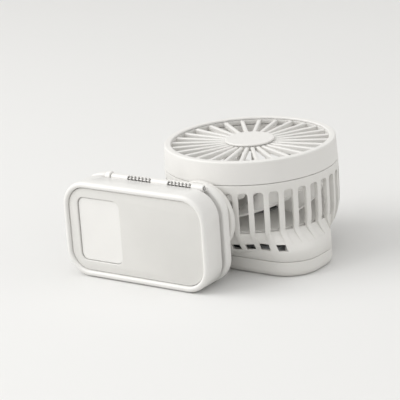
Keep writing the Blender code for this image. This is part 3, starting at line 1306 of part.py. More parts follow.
def make_grip_pad(name, axis, seat_y, outward):
    """A ridged rubber strip across the mouth of the clip."""
    low_z = CLIP_BOTTOM_Z + GRIP_LIFT
    pitch = GRIP_HEIGHT / GRIP_RIDGES
    crest_y = seat_y + outward * GRIP_THICKNESS
    valley_y = crest_y - outward * GRIP_RIDGE_DEPTH
    outline = [(seat_y, low_z)]
    for i in range(GRIP_RIDGES):
        outline += [(valley_y, low_z + pitch * i + pitch * 0.01), (crest_y, low_z + pitch * (i + 0.35)),
                    (crest_y, low_z + pitch * (i + 0.65)), (valley_y, low_z + pitch * (i + 0.99))]
    outline.append((seat_y, low_z + GRIP_HEIGHT))
    half = GRIP_LENGTH / 2
    rings = [[(CLIP_CENTRE_X + side * half, y, z) for y, z in outline] for side in (-1, 1)]
    make(name, shape(loft(rings)), SOFT_GREY, 0.8, 0.0, axis)


def main():
    clear_scene()
    make_main_housing()
    make_base_cover()
    make_case_screws()
    make_front_bezel()
    make_duct_ring()
    make_front_grille()
    make_grille_hub_cap()
    make_air_guide()
    make_motor_bracket()
    make_bracket_screws()
    make_stator()
    make_sleeve_bearing()
    make_battery()
    make_control_board()
    make_charging_socket()
    make_leads()
    make_button_board()

    make_rotor(pivot("impeller_axis", (0, 0, SLOT_FLOOR_Z)))
    make_power_button(pivot("button_axis", (0, BOSS_FACE_Y, BUTTON_Z)))

    swivel_axis = pivot("swivel_axis", (0, DISC_FRONT_Y, SWIVEL_Z))
    make_swivel(swivel_axis)
    make_rear_plate(swivel_axis)
    make_grip_pad("rear_grip_pad", swivel_axis, PLATE_FRONT_Y - SEAT_GAP, -1)
    make_hinge_pin(swivel_axis)
    make_springs(swivel_axis)

    jaw_axis = pivot("jaw_axis", (CLIP_CENTRE_X, HINGE_Y, HINGE_Z))
    make_jaw_shell(jaw_axis)
    make_jaw_back_cover(jaw_axis)
    make_jaw_screws(jaw_axis)
    make_face_panel(jaw_axis)
    make_grip_pad("front_grip_pad", jaw_axis, JAW_BACK_Y + SEAT_GAP / 2, 1)


main()
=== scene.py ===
from math import asin, cos, hypot, pi, radians, sin, sqrt

import bmesh
import bpy
from mathutils import Matrix, Vector


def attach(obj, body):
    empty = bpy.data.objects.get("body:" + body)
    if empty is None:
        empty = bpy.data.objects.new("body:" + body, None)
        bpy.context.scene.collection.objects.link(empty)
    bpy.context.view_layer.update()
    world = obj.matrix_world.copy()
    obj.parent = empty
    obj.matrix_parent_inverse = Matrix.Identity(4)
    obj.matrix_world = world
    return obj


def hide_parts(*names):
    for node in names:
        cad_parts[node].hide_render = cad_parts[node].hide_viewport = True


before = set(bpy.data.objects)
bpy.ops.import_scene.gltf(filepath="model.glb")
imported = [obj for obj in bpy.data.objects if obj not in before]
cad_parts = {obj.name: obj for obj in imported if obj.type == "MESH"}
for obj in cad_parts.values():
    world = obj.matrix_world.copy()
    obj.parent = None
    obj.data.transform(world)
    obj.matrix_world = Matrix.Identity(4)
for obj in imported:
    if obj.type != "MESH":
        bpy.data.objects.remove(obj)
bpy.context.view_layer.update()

# The shapes are built in millimetres, in the CAD frame, and scaled once when a piece is made.
MM = 0.001
SEAT = 0.3  # the gap between two pieces that sit against each other
SHARP = 32  # degrees; an edge that bends more isn't shaded smooth
SOFT_ABOVE = 30  # degrees; an edge that bends more is rounded
OVER = 1  # how far a cutter reaches past what it cuts
CHAMFER = 0.15


# Shapes

def shape(*builders):
    """One mesh of all the builders' bodies."""
    bm = bmesh.new()
    for build in builders:
        build(bm)
    return bm


def loft(rings):
    """A closed body through rings that all have the same number of points."""
    def build(bm):
        rows = [[bm.verts.new(point) for point in ring] for ring in rings]
        count = len(rows[0])
        for low, high in zip(rows, rows[1:]):
            for i in range(count):
                j = (i + 1) % count
                bm.faces.new((low[i], low[j], high[j], high[i]))
        bm.faces.new(list(reversed(rows[0])))
        bm.faces.new(rows[-1])
    return build


def block(low, high):
    corners = [(low[0], low[1]), (high[0], low[1]), (high[0], high[1]), (low[0], high[1])]
    return loft([[(x, y, z) for x, y in corners] for z in (low[2], high[2])])


def turned(profile, segments, centre=(0, 0, 0), along="Z"):
    """A closed body turned from (radius, height) points. A profile off the axis is a closed ring."""
    def build(bm):
        def place(radius, height, angle):
            u, v = radius * cos(angle), radius * sin(angle)
            spot = {"X": (height, u, v), "Y": (v, height, u), "Z": (u, v, height)}[along]
            return Vector(spot) + Vector(centre)
        columns = []
        for i in range(segments):
            angle = 2 * pi * i / segments
            columns.append([bm.verts.new(place(r, h, angle)) if r > 0 else None for r, h in profile])
        poles = {k: bm.verts.new(place(0, h, 0)) for k, (r, h) in enumerate(profile) if r <= 0}
        steps = len(profile) - 1 if poles else len(profile)
        for i in range(segments):
            here, there = columns[i], columns[(i + 1) % segments]
            for k in range(steps):
                m = (k + 1) % len(profile)
                corners = [here[k] or poles[k], there[k] or poles[k],
                           there[m] or poles[m], here[m] or poles[m]]
                unique = list(dict.fromkeys(corners))
                if len(unique) > 2:
                    bm.faces.new(unique)
    return build


def rod(radius, start, end, segments, centre=(0, 0, 0), along="Z"):
    return turned([(0, start), (radius, start), (radius, end), (0, end)], segments, centre, along)


def tube(outer, inner, start, end, segments, centre=(0, 0, 0), along="Z"):
    return turned([(inner, start), (outer, start), (outer, end), (inner, end)], segments, centre, along)


def arc(centre_u, centre_v, radius_u, radius_v, start, end, steps):
    """Points along an ellipse, from one angle to the other in degrees."""
    angles = [radians(start + (end - start) * i / steps) for i in range(steps + 1)]
    return [(centre_u + radius_u * cos(a), centre_v + radius_v * sin(a)) for a in angles]


def rounded_outline(half_u, half_v, corner, inset=0.0, steps=14):
    radius = max(corner - inset, 0.2)
    corner_u, corner_v = half_u - inset - radius, half_v - inset - radius
    points = []
    for turn, (su, sv) in enumerate(((1, 1), (-1, 1), (-1, -1), (1, -1))):
        points += arc(su * corner_u, sv * corner_v, radius, radius, 90 * turn, 90 * turn + 90, steps)
    return points


def around(count, radius, start):
    """Points spaced evenly on a circle, from an angle in degrees."""
    angles = [radians(start + 360 * i / count) for i in range(count)]
    return [(radius * cos(a), radius * sin(a)) for a in angles]


def radial_prism(angle, near, far, outline):
    """A bar that runs outwards from the drum's axis, with an outline of (side, height) points."""
    out, side = Vector((cos(angle), sin(angle), 0)), Vector((-sin(angle), cos(angle), 0))
    return loft([[out * reach + side * u + Vector((0, 0, z)) for u, z in outline] for reach in (near, far)])


# Objects

def put(name, data):
    made = bpy.data.objects.new(name, data)
    bpy.context.scene.collection.objects.link(made)
    return made


def shade(mesh, sharp=SHARP):
    mesh.shade_smooth()
    mesh.set_sharp_from_angle(angle=radians(sharp))


def with_modifiers(target):
    """A new mesh of a piece with its modifiers put in."""
    bpy.context.view_layer.update()
    graph = bpy.context.evaluated_depsgraph_get()
    return bpy.data.meshes.new_from_object(target.evaluated_get(graph))


def add(name, bm, sharp=SHARP, scale=MM):
    bmesh.ops.recalc_face_normals(bm, faces=bm.faces)
    bmesh.ops.scale(bm, vec=(scale, scale, scale), verts=bm.verts)
    mesh = bpy.data.meshes.new(name)
    bm.to_mesh(mesh)
    bm.free()
    shade(mesh, sharp)
    return put(name, mesh)


def boolean(target, bm, operation="DIFFERENCE"):
    cut_with(target, add("tool", bm), operation)


def cut_with(target, tool, operation="DIFFERENCE"):
    step = target.modifiers.new("step", "BOOLEAN")
    step.operation = operation
    step.object = tool
    mesh = with_modifiers(target)
    target.modifiers.clear()
    target.data = mesh
    shade(mesh)
    bpy.data.objects.remove(tool, do_unlink=True)


def soften(target, width):
    """Rounds a piece's edges."""
    step = target.modifiers.new("soften", "BEVEL")
    step.width = width * MM
    step.segments = 2
    step.limit_method = "ANGLE"
    step.angle_limit = radians(SOFT_ABOVE)
    step.miter_outer = "MITER_ARC"
    step.harden_normals = True
    return target


def join(name, *parts):
    """Several objects as one piece."""
    bm = bmesh.new()
    for part in parts:
        mesh = with_modifiers(part)
        bm.from_mesh(mesh)
        bpy.data.meshes.remove(mesh)
        bpy.data.objects.remove(part, do_unlink=True)
    mesh = bpy.data.meshes.new(name)
    bm.to_mesh(mesh)
    bm.free()
    shade(mesh)
    return put(name, mesh)


def dress(made, body, material, slot, *nodes):
    """Gives a piece its body and material, and hides the CAD nodes that it stands for. The slot, which names
    its finish, is not used.
    """
    made.data.materials.clear()
    made.data.materials.append(material)
    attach(made, body)
    if nodes:
        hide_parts(*nodes)


# Materials

FINE = 0.00004  # metres; the depth of a moulded surface's grain
CLOUD, MARKS, TURNS = 90, 900, 900  # noise and wave scales


def new_material(name):
    """A material, its nodes and links, its shader, and the object's own coordinates."""
    made = bpy.data.materials.new(name)
    made.use_nodes = True
    nodes, links = made.node_tree.nodes, made.node_tree.links
    place = nodes.new("ShaderNodeTexCoord").outputs["Object"]
    return made, nodes, links, nodes["Principled BSDF"], place


def fill(node, **values):
    """Sets a node's own sockets. An underscore in a name stands for a space."""
    for name, value in values.items():
        node.inputs[name.replace("_", " ")].default_value = value


def noise(nodes, links, place, scale, detail):
    made = nodes.new("ShaderNodeTexNoise")
    fill(made, Scale=scale, Detail=detail)
    links.new(place, made.inputs["Vector"])
    return made.outputs["Fac"]


def ramp(nodes, links, source, low, high, start=0.0, end=1.0):
    """Two colours, blended from start to end of the source's range."""
    made = nodes.new("ShaderNodeValToRGB")
    first, last = made.color_ramp.elements
    first.position, first.color = start, (*low, 1)
    last.position, last.color = end, (*high, 1)
    links.new(source, made.inputs["Fac"])
    return made.outputs["Color"]


def vary(nodes, links, source, low, high, target):
    """Lets a socket run from low to high with the source."""
    made = nodes.new("ShaderNodeMapRange")
    fill(made, To_Min=low, To_Max=high)
    links.new(source, made.inputs["Value"])
    links.new(made.outputs["Result"], target)
    return made


def relief(nodes, links, source, strength, depth, shader):
    made = nodes.new("ShaderNodeBump")
    fill(made, Strength=strength, Distance=depth)
    links.new(source, made.inputs["Height"])
    links.new(made.outputs["Normal"], shader.inputs["Normal"])


def scaled(colour, factor):
    return [min(1.0, c * factor) for c in colour]


def plastic(name, colour, roughness, grain=0.010, bump=0.10, grain_size=0.35, coat=0.0):
    """Moulded plastic, a little cloudy in colour and gloss and with a fine grain."""
    made, nodes, links, shader, place = new_material(name)
    cloud = noise(nodes, links, place, CLOUD, 3)
    tint = ramp(nodes, links, cloud, scaled(colour, 1 - grain), scaled(colour, 1 + grain), 0.3, 0.7)
    links.new(tint, shader.inputs["Base Color"])
    vary(nodes, links, cloud, roughness - 0.04, roughness + 0.06, shader.inputs["Roughness"])
    fine = noise(nodes, links, place, 1 / (grain_size * MM), 2)
    relief(nodes, links, fine, bump, FINE, shader)
    fill(shader, Coat_Weight=coat, Coat_Roughness=0.15)
    return made


def metal(name, colour, roughness):
    """Bare metal with a fine mottle in its colour and gloss."""
    made, nodes, links, shader, place = new_material(name)
    fill(shader, Metallic=1.0)
    marks = noise(nodes, links, place, MARKS, 3)
    tint = ramp(nodes, links, marks, scaled(colour, 0.86), scaled(colour, 1.08))
    links.new(tint, shader.inputs["Base Color"])
    vary(nodes, links, marks, roughness - 0.06, roughness + 0.10, shader.inputs["Roughness"])
    return made


def windings(name, colour, roughness):
    """Varnished copper wire, wound in fine turns."""
    made = metal(name, colour, roughness)
    nodes, links = made.node_tree.nodes, made.node_tree.links
    place = nodes.new("ShaderNodeTexCoord").outputs["Object"]
    turns = nodes.new("ShaderNodeTexWave")
    turns.bands_direction = "Z"
    fill(turns, Scale=TURNS)
    links.new(place, turns.inputs["Vector"])
    relief(nodes, links, turns.outputs["Fac"], 0.6, 0.1 * MM, nodes["Principled BSDF"])
    return made


body_white = plastic("body_white", (0.83, 0.82, 0.795), 0.48, bump=0.16)
bezel_white = plastic("bezel_white", (0.85, 0.84, 0.82), 0.40, bump=0.08)
clip_white = plastic("clip_white", (0.87, 0.863, 0.845), 0.36, bump=0.06, coat=0.15)
panel_grey = plastic("panel_grey", (0.785, 0.778, 0.755), 0.55, grain=0.012, bump=0.22, grain_size=0.30)
insert_white = plastic("insert_white", (0.89, 0.883, 0.865), 0.30, bump=0.04)
blade_white = plastic("blade_white", (0.84, 0.83, 0.81), 0.30, bump=0.05)
grip_rubber = plastic("grip_rubber", (0.16, 0.16, 0.165), 0.75, grain=0.05, bump=0.5, grain_size=0.2)
foam = plastic("foam", (0.42, 0.41, 0.39), 0.95, grain=0.15, bump=1.0, grain_size=0.5)
grey_plastic = plastic("grey_plastic", (0.30, 0.30, 0.30), 0.5)
black_plastic = plastic("black_plastic", (0.03, 0.03, 0.03), 0.4)
board_green = plastic("board_green", (0.04, 0.20, 0.10), 0.35, grain=0.06, grain_size=0.8)
foil = plastic("foil", (0.60, 0.61, 0.63), 0.30, grain=0.02)
steel = metal("steel", (0.62, 0.62, 0.63), 0.30)
spring_steel = metal("spring_steel", (0.58, 0.57, 0.56), 0.42)
bronze = metal("bronze", (0.62, 0.44, 0.22), 0.42)
magnet_black = metal("magnet_black", (0.10, 0.10, 0.11), 0.45)
copper = windings("copper_windings", (0.62, 0.30, 0.15), 0.35)


# Drum

DRUM_R, WALL = 40.0, 2.0
BOWL_Z, BOWL_FLOOR, BOWL_IN = 26.8, 8.4, 11.0  # its start, floor and inward reach
SEAM_Z = 43.2
SLOTS, SLOT_HALF, SLOT_CORNER = 36, 2.25, 1.4
SLOT_TURN = 1.8  # degrees from the clip's side to the pillar beside it
SLOT_LEAN, SLOT_TAPER = 0.27, 0.034  # a tail's sideways step and loss of width per height
SLOT_TOP, SLOT_LOW, TAIL_LOW = 39.6, 20.2, 14.95
TAIL_DEEP, TAIL_END = 1.2, 0.25  # a tail's depth at its two ends
WINDOW_LOW = 12.15
FRONT_WINDOWS = (1, 2, 3, 4, 34, 33, 32, 31)
UNCUT = (0, 35, 17, 18)  # no slot beside the clip's disc and the button
WALL_ROWS = [SEAM_Z, 42.0, 40.8, SLOT_TOP, SLOT_TOP - SLOT_CORNER, 35.4, 32.6, 29.8, BOWL_Z, 25.0, 22.6,
             SLOT_LOW, 19.0, 17.7, 16.3, TAIL_LOW, 14.0, 13.0, WINDOW_LOW]
BOWL_ROWS = 9
PILLAR_SHARES = (0.0, 0.34, 0.66, 1.0)
WELD = 0.002
DRUM_EDGE = 0.16


def drum_radius(z, deep):
    """The radius of the wall and bowl at a height and a depth in the wall."""
    if z >= BOWL_Z:
        return DRUM_R - deep
    share = min(1.0, (BOWL_Z - z) / (BOWL_Z - BOWL_FLOOR - deep))
    return DRUM_R - BOWL_IN + (BOWL_IN - deep) * sqrt(max(0.0, 1 - share ** 2))


def tail_depth(z):
    """The depth of a slot's tail, which runs out towards its lower end."""
    share = min(1.0, max(0.0, (z - TAIL_LOW) / (SLOT_LOW - TAIL_LOW)))
    return TAIL_END + (TAIL_DEEP - TAIL_END) * share


def slot_angle(k):
    return radians(-90 + SLOT_TURN + 360 * (k + 0.5) / SLOTS)


def slot_side(w, z):
    """Where a point w from a slot's middle lies sideways. The tail leans and narrows."""
    below = max(SLOT_LOW - z, 0.0)
    return w * (1 - SLOT_TAPER * below / SLOT_HALF) + SLOT_LEAN * below


def slotted_drum(bm):
    """The drum's wall and bowl as one closed skin, with its slots, shallow slot tails and windows."""
    def bowl_rows(deep):
        """Heights from the windows' lower edge down to the bowl's flat floor."""
        height = BOWL_Z - BOWL_FLOOR - deep
        start = asin((BOWL_Z - WINDOW_LOW) / height)
        turns = [start + (pi / 2 - start) * (i + 1) / BOWL_ROWS for i in range(BOWL_ROWS)]
        return [BOWL_Z - height * sin(turn) for turn in turns]

    outer_rows, inner_rows = WALL_ROWS + bowl_rows(0), WALL_ROWS + bowl_rows(WALL)
    columns = [-SLOT_HALF, SLOT_CORNER - SLOT_HALF, 0.0, SLOT_HALF - SLOT_CORNER, SLOT_HALF]
    pillar = [(share,) for share in PILLAR_SHARES]

    def spot(deep, k, w, z):
        """A point w to the side of slot k's middle, or with (share,) on the pillar after the slot."""
        radius = drum_radius(z, 0) - tail_depth(z) if deep == TAIL_DEEP else drum_radius(z, deep)
        if isinstance(w, tuple):
            start = slot_angle(k) + asin(slot_side(SLOT_HALF, z) / radius)
            end = slot_angle(k + 1) + asin(slot_side(-SLOT_HALF, z) / radius)
            angle = start + (end - start) * w[0]
        else:
            angle = slot_angle(k) + asin(slot_side(w, z) / radius)
        return (radius * cos(angle), radius * sin(angle), z)

    def face(*points):
        bm.faces.new([bm.verts.new(p) for p in points])

    def band(deep, k, ws, top, low):
        """A row of faces at one depth, between two heights."""
        for a, b in zip(ws, ws[1:]):
            face(spot(deep, k, a, top), spot(deep, k, b, top), spot(deep, k, b, low), spot(deep, k, a, low))

    def through(k, a, b, near=0, far=WALL):
        """The wall's cut edge between two points (w, z) of an opening's outline."""
        depths = [deep for deep in (0, TAIL_DEEP, WALL) if near <= deep <= far]
        for deep, deeper in zip(depths, depths[1:]):
            face(spot(deep, k, *a), spot(deep, k, *b), spot(deeper, k, *b), spot(deeper, k, *a))

    def ledge(k, z, near=0, far=WALL, ws=columns):
        """The cut edge across an opening at one height."""
        for a, b in zip(ws, ws[1:]):
            through(k, (a, z), (b, z), near, far)

    def slot_head(k):
        """The slot's two rounded upper corners."""
        curve = arc(SLOT_HALF - SLOT_CORNER, SLOT_TOP - SLOT_CORNER, SLOT_CORNER, SLOT_CORNER, 0, 90, 5)
        for sign in (-1, 1):
            for (u, z), (v, y) in zip(curve, curve[1:]):
                for deep in (0, WALL):
                    face(spot(deep, k, sign * SLOT_HALF, SLOT_TOP), spot(deep, k, sign * u, z),
                         spot(deep, k, sign * v, y))
                through(k, (sign * u, z), (sign * v, y))

    for k in range(SLOTS):
        opened = k not in UNCUT
        for i in range(len(outer_rows) - 1):
            top, low = outer_rows[i], outer_rows[i + 1]
            in_top, in_low = inner_rows[i], inner_rows[i + 1]
            band(0, k, pillar, top, low)
            band(WALL, k, pillar, in_top, in_low)
            in_slot = opened and SLOT_LOW <= low and top <= SLOT_TOP
            in_tail = opened and TAIL_LOW <= low and top <= SLOT_LOW
            in_window = k in FRONT_WINDOWS and WINDOW_LOW <= low and top <= TAIL_LOW
            if in_slot and top == SLOT_TOP:
                slot_head(k)
            elif in_slot or in_window:
                for w in (-SLOT_HALF, SLOT_HALF):
                    through(k, (w, top), (w, low))
            elif in_tail:
                band(TAIL_DEEP, k, columns, top, low)
                band(WALL, k, columns, in_top, in_low)
                for w in (-SLOT_HALF, SLOT_HALF):
                    through(k, (w, top), (w, low), 0, TAIL_DEEP)
            else:
                band(0, k, columns, top, low)
                band(WALL, k, columns, in_top, in_low)
        ledge(k, SEAM_Z)
        ledge(k, SEAM_Z, ws=pillar)
        if opened:
            ledge(k, SLOT_TOP, ws=columns[1:4])
            ledge(k, SLOT_LOW, TAIL_DEEP, WALL)
            if k in FRONT_WINDOWS:
                ledge(k, TAIL_LOW, TAIL_DEEP, WALL)
                ledge(k, WINDOW_LOW)
            else:
                ledge(k, TAIL_LOW, 0, TAIL_DEEP)
        for deep, z in ((0, BOWL_FLOOR), (WALL, BOWL_FLOOR + WALL)):
            for ws in (columns, pillar):
                for a, b in zip(ws, ws[1:]):
                    face((0, 0, z), spot(deep, k, a, z), spot(deep, k, b, z))
    bmesh.ops.remove_doubles(bm, verts=bm.verts, dist=WELD)


# Base

BASE_X, BASE_FRONT, BASE_BACK, BASE_CORNER = 43.2, -30.0, 7.8, 15.5
BASE_Y, BASE_HALF = (BASE_FRONT + BASE_BACK) / 2, (BASE_BACK - BASE_FRONT) / 2
BASE_SEAM, BASE_WALL = 7.2, 2.0
EDGE_IN, EDGE_HIGH = 2.7, 3.6  # the rounding of the lower edge
COVER_LIP, COVER_LIP_HIGH, COVER_FLOOR = 1.2, 1.6, 1.8
BLEND_Z, BLEND_TOP, BLEND_R = 11.0, 21.3, 39.4  # the side's bend in to the drum
HOLLOW_Z, HOLLOW_TOP, HOLLOW_ROUND = 11.0, 14.5, 3.5
BOARD_LEFT, BOARD_LONG = -39.21, 20.0
POST_IN, POST_R, POST_LOW, POST_TOP = 2.6, 1.6, 0.9, 7.7
SCREW_BOSS_IN, SCREW_SINK, SCREW_HEAD, SCREW_LONG = 5.6, 1.3, 1.2, 8.5
CASE_BOSS_R, CASE_BOSS_LOW, CASE_BOSS_TOP, CASE_BORE = 4.3, 9.1, 13.0, 1.3
COVER_BOSS_R, COVER_BOSS_TOP, HEAD_BORE, HEAD_BORE_TOP, COVER_BORE_TOP = 3.3, 8.6, 2.2, 2.8, 9.8
SOCKET_Z, SOCKET_SINK, SOCKET_LONG, SOCKET_HALF_Y, SOCKET_HALF_Z = 11.1, 1.2, 7.2, 4.5, 1.6
TONGUE_HALF_Y, TONGUE_HALF_Z, TONGUE_IN = 3.3, 0.35, 0.9

SWIVEL_Z, BUTTON_Z, BOSS_FACE, BOSS_BACK, BOSS_ROUND = 28.4, 30.0, 41.2, 36.5, 0.4
SWIVEL, BUTTON = (0, 0, SWIVEL_Z), (0, 0, BUTTON_Z)
SWIVEL_BOSS_R, SWIVEL_BORE, SWIVEL_CLEAR = 9.0, 3.3, 3.8
BUTTON_BOSS_R, BUTTON_R, FLANGE_OUT, BUTTON_CLEAR = 8.5, 4.0, 5.0, 5.8
FLANGE_THICK, BUTTON_PROUD, BUTTON_ROUND = 0.9, 0.6, 0.4
BUTTON_STEP = BOSS_BACK + 0.7 + 0.8 + FLANGE_THICK + 3 * SEAT

# The radii that the shoulder's cutters span. Insets keep two cuts from sharing a face.
SLOT_CUT, WINDOW_CUT, GROOVE_CUT = (34.3, 52.5), (28, 52), (34, 53)
SLOT_CUT_IN, WINDOW_CUT_IN = 0.03, 0.04


def base_ring(inset, z):
    return [(x, BASE_Y + y, z) for x, y in rounded_outline(BASE_X, BASE_HALF, BASE_CORNER, inset)]


def blend_rings(low_z, steps=14):
    """The base's outer side, which bends in to the drum's wall."""
    outline = base_ring(0, BLEND_Z)
    rings = [base_ring(0, low_z), outline]
    for i in range(1, steps + 1):
        share = i / steps
        bend = share * share * (3 - 2 * share)
        z = BLEND_Z + (BLEND_TOP - BLEND_Z) * share
        ring = []
        for x, y, _ in outline:
            scale = 1 - bend * max(1 - BLEND_R / hypot(x, y), 0.0)
            ring.append((x * scale, y * scale, z))
        rings.append(ring)
    return rings


def hollow_rings(low_z):
    """The space inside the base's walls, with a rounded top."""
    rings = [base_ring(BASE_WALL, low_z)]
    for reach, z in arc(0, HOLLOW_Z, HOLLOW_ROUND, HOLLOW_TOP - HOLLOW_Z, 0, 90, 10):
        rings.append(base_ring(BASE_WALL + HOLLOW_ROUND - reach, z))
    return rings


case_reach = (BASE_CORNER - SCREW_BOSS_IN) / sqrt(2)
case_x, case_y = BASE_X - BASE_CORNER + case_reach, BASE_HALF - BASE_CORNER + case_reach
case_spots = [(sx * case_x, BASE_Y + sy * case_y) for sx in (-1, 1) for sy in (-1, 1)]


def drum_space():
    """The space inside the drum's wall and bowl."""
    bowl = arc(DRUM_R - BOWL_IN, BOWL_Z, BOWL_IN - WALL, BOWL_Z - BOWL_FLOOR - WALL, -90, 0, 24)
    return turned([(0, BOWL_FLOOR + WALL)] + bowl + [(DRUM_R - WALL, SEAM_Z), (0, SEAM_Z)], 144)


def slot_cutter(k, reach, low, high, inset=0.0):
    half = SLOT_HALF - inset
    outline = [(slot_side(w, z), z) for w, z in ((-half, low), (half, low), (half, high), (-half, high))]
    return radial_prism(slot_angle(k), *reach, outline)


def make_grooves(opened):
    """The shallow tails of the slots in the shoulder, as one cutter."""
    grooves = add("grooves", shape(*[slot_cutter(k, GROOVE_CUT, TAIL_LOW, SLOT_LOW + 0.1) for k in opened]))
    rows = [TAIL_LOW - 1 + (SLOT_LOW - TAIL_LOW + 3) * i / 20 for i in range(21)]
    core = [(drum_radius(z, 0) - tail_depth(z), z) for z in rows]
    boolean(grooves, shape(turned([(0, rows[0])] + core + [(0, rows[-1])], 144)))
    faded = []
    for ring in blend_rings(BASE_SEAM, 28):
        scales = [1 - tail_depth(z) / hypot(x, y) for x, y, z in ring]
        faded.append([(x * scale, y * scale, z) for (x, y, z), scale in zip(ring, scales)])
    boolean(grooves, shape(loft(faded)))
    return grooves


def make_bosses():
    """What the swivel, the button and the case screws sit in."""
    face, back, edge = BOSS_FACE, BOSS_BACK, BOSS_ROUND
    swivel_edge = arc(SWIVEL_BOSS_R - edge, edge - face, edge, edge, -90, 0, 4)
    swivel_boss = [(SWIVEL_BORE, -face)] + swivel_edge + [(SWIVEL_BOSS_R, -back), (SWIVEL_BORE, -back)]
    wide, narrow = FLANGE_OUT + SEAT, BUTTON_R + SEAT
    button_edge = arc(BUTTON_BOSS_R - edge, face - edge, edge, edge, 0, 90, 4)
    button_boss = [(wide, back), (BUTTON_BOSS_R, back)] + button_edge + [
        (narrow + 0.2, face), (narrow, face - 0.2), (narrow, BUTTON_STEP), (wide, BUTTON_STEP)]
    bore_top = SCREW_SINK + SCREW_HEAD + SCREW_LONG + SEAT
    bore, side, low, top = CASE_BORE, CASE_BOSS_R, CASE_BOSS_LOW, CASE_BOSS_TOP
    case_boss = [(0, bore_top), (bore, bore_top), (bore, low), (side, low), (side, top), (0, top)]
    return add("bosses", shape(
        turned(swivel_boss, 96, SWIVEL, "Y"), turned(button_boss, 96, BUTTON, "Y"),
        *[turned(case_boss, 32, (x, y, 0)) for x, y in case_spots]))


def make_housing():
    drum = add("drum", shape(slotted_drum))
    boolean(drum, shape(loft(hollow_rings(BASE_SEAM - OVER))))
    inside, outside = BOSS_BACK - OVER, BOSS_FACE + OVER
    boolean(drum, shape(rod(BUTTON_CLEAR, inside, outside, 64, BUTTON, "Y")))
    boolean(drum, shape(rod(SWIVEL_CLEAR, -outside, -inside, 64, SWIVEL, "Y")))
    soften(drum, DRUM_EDGE)

    outer, inner = blend_rings(BASE_SEAM + SEAT), hollow_rings(BASE_SEAM + SEAT)
    middle = [(x / 2, y / 2, z) for x, y, z in outer[-1]]
    shoulder = add("shoulder", shape(loft(list(reversed(inner)) + outer + [middle])))
    boolean(shoulder, shape(drum_space()))
    # Slots one by one and the grooves last, because that order keeps the shoulder whole.
    opened = [k for k in range(SLOTS) if k not in UNCUT]
    for k in opened:
        slot = slot_cutter(k, SLOT_CUT, SLOT_LOW + SLOT_CUT_IN, BLEND_TOP + OVER, SLOT_CUT_IN)
        boolean(shoulder, shape(slot))
    for k in FRONT_WINDOWS:
        window = slot_cutter(k, WINDOW_CUT, WINDOW_LOW, TAIL_LOW + 0.05, WINDOW_CUT_IN)
        boolean(shoulder, shape(window))
    cut_with(shoulder, make_grooves(opened))
    mouth = rounded_outline(SOCKET_HALF_Y + SEAT, SOCKET_HALF_Z + SEAT, SOCKET_HALF_Z + SEAT, 0.0, 10)
    boolean(shoulder, shape(loft([[(x, BASE_Y + y, SOCKET_Z + z) for y, z in mouth]
                                  for x in (-BASE_X - OVER, -BASE_X + BASE_WALL + OVER)])))
    soften(shoulder, CHAMFER)
    housing = join("housing_shell", drum, shoulder, make_bosses())
    dress(housing, "fan_body", body_white, "white_plastic", "main_housing")


def make_base_cover():
    edge = [(EDGE_IN - reach, EDGE_HIGH + z) for reach, z in arc(0, 0, EDGE_IN, EDGE_HIGH, -90, 0, 10)]
    lip, lip_top = BASE_WALL + SEAT, BASE_SEAM + COVER_LIP_HIGH
    steps = edge + [(0, BASE_SEAM - CHAMFER), (CHAMFER, BASE_SEAM), (lip, BASE_SEAM), (lip, lip_top),
                    (lip + COVER_LIP, lip_top), (lip + COVER_LIP, COVER_FLOOR)]
    cover = add("cover", shape(loft([base_ring(inset, z) for inset, z in steps])))
    bosses = [rod(COVER_BOSS_R, POST_LOW, COVER_BOSS_TOP, 32, (x, y, 0)) for x, y in case_spots]
    boolean(cover, shape(*bosses), "UNION")
    wide, step, narrow, top = HEAD_BORE, HEAD_BORE_TOP, CASE_BORE, COVER_BORE_TOP
    hole = [(0, -OVER), (wide, -OVER), (wide, step), (narrow, step), (narrow, top), (0, top)]
    boolean(cover, shape(*[turned(hole, 32, (x, y, 0)) for x, y in case_spots]))
    post_spots = (BOARD_LEFT + POST_IN, BOARD_LEFT + BOARD_LONG - POST_IN)
    posts = add("posts", shape(*[rod(POST_R, POST_LOW, POST_TOP, 24, (x, BASE_Y, 0)) for x in post_spots]))
    dress(join("base_shell", cover, posts), "fan_body", body_white, "white_plastic", "base_cover")


# Bezel and guard

BEZEL_HIGH, DRAFT, RIM_ROUND, LIP_HIGH, LIP_ROUND = 10.8, 0.5, 0.8, 0.9, 0.45
RIM_TOP, BEZEL_LOW = SEAM_Z + BEZEL_HIGH, SEAM_Z + SEAT
OPENING_R, SKIRT_R, FLANGE_R = 36.4, 37.6, 38.9
TUCK_DEEP, FLANGE_HIGH = 2.4, 1.1  # the duct ring's foot and flange
GRILLE_TOP, BAR_HIGH = RIM_TOP - LIP_HIGH - SEAT, 2.2
BARS, BAR_HALF, BAR_ROUND, BAR_DRAFT = 28, 0.9, 0.5, 0.12
HUB_R, HUB_BORE, BAR_START, BAR_END = 10.5, 2.3, 9.6, OPENING_R + 0.6
CAP_R, CAP_HIGH, CAP_ROUND, CAP_DISH, PEG_R, PEG_LONG = 11.3, 0.9, 0.45, 0.11, 2.0, 2.5


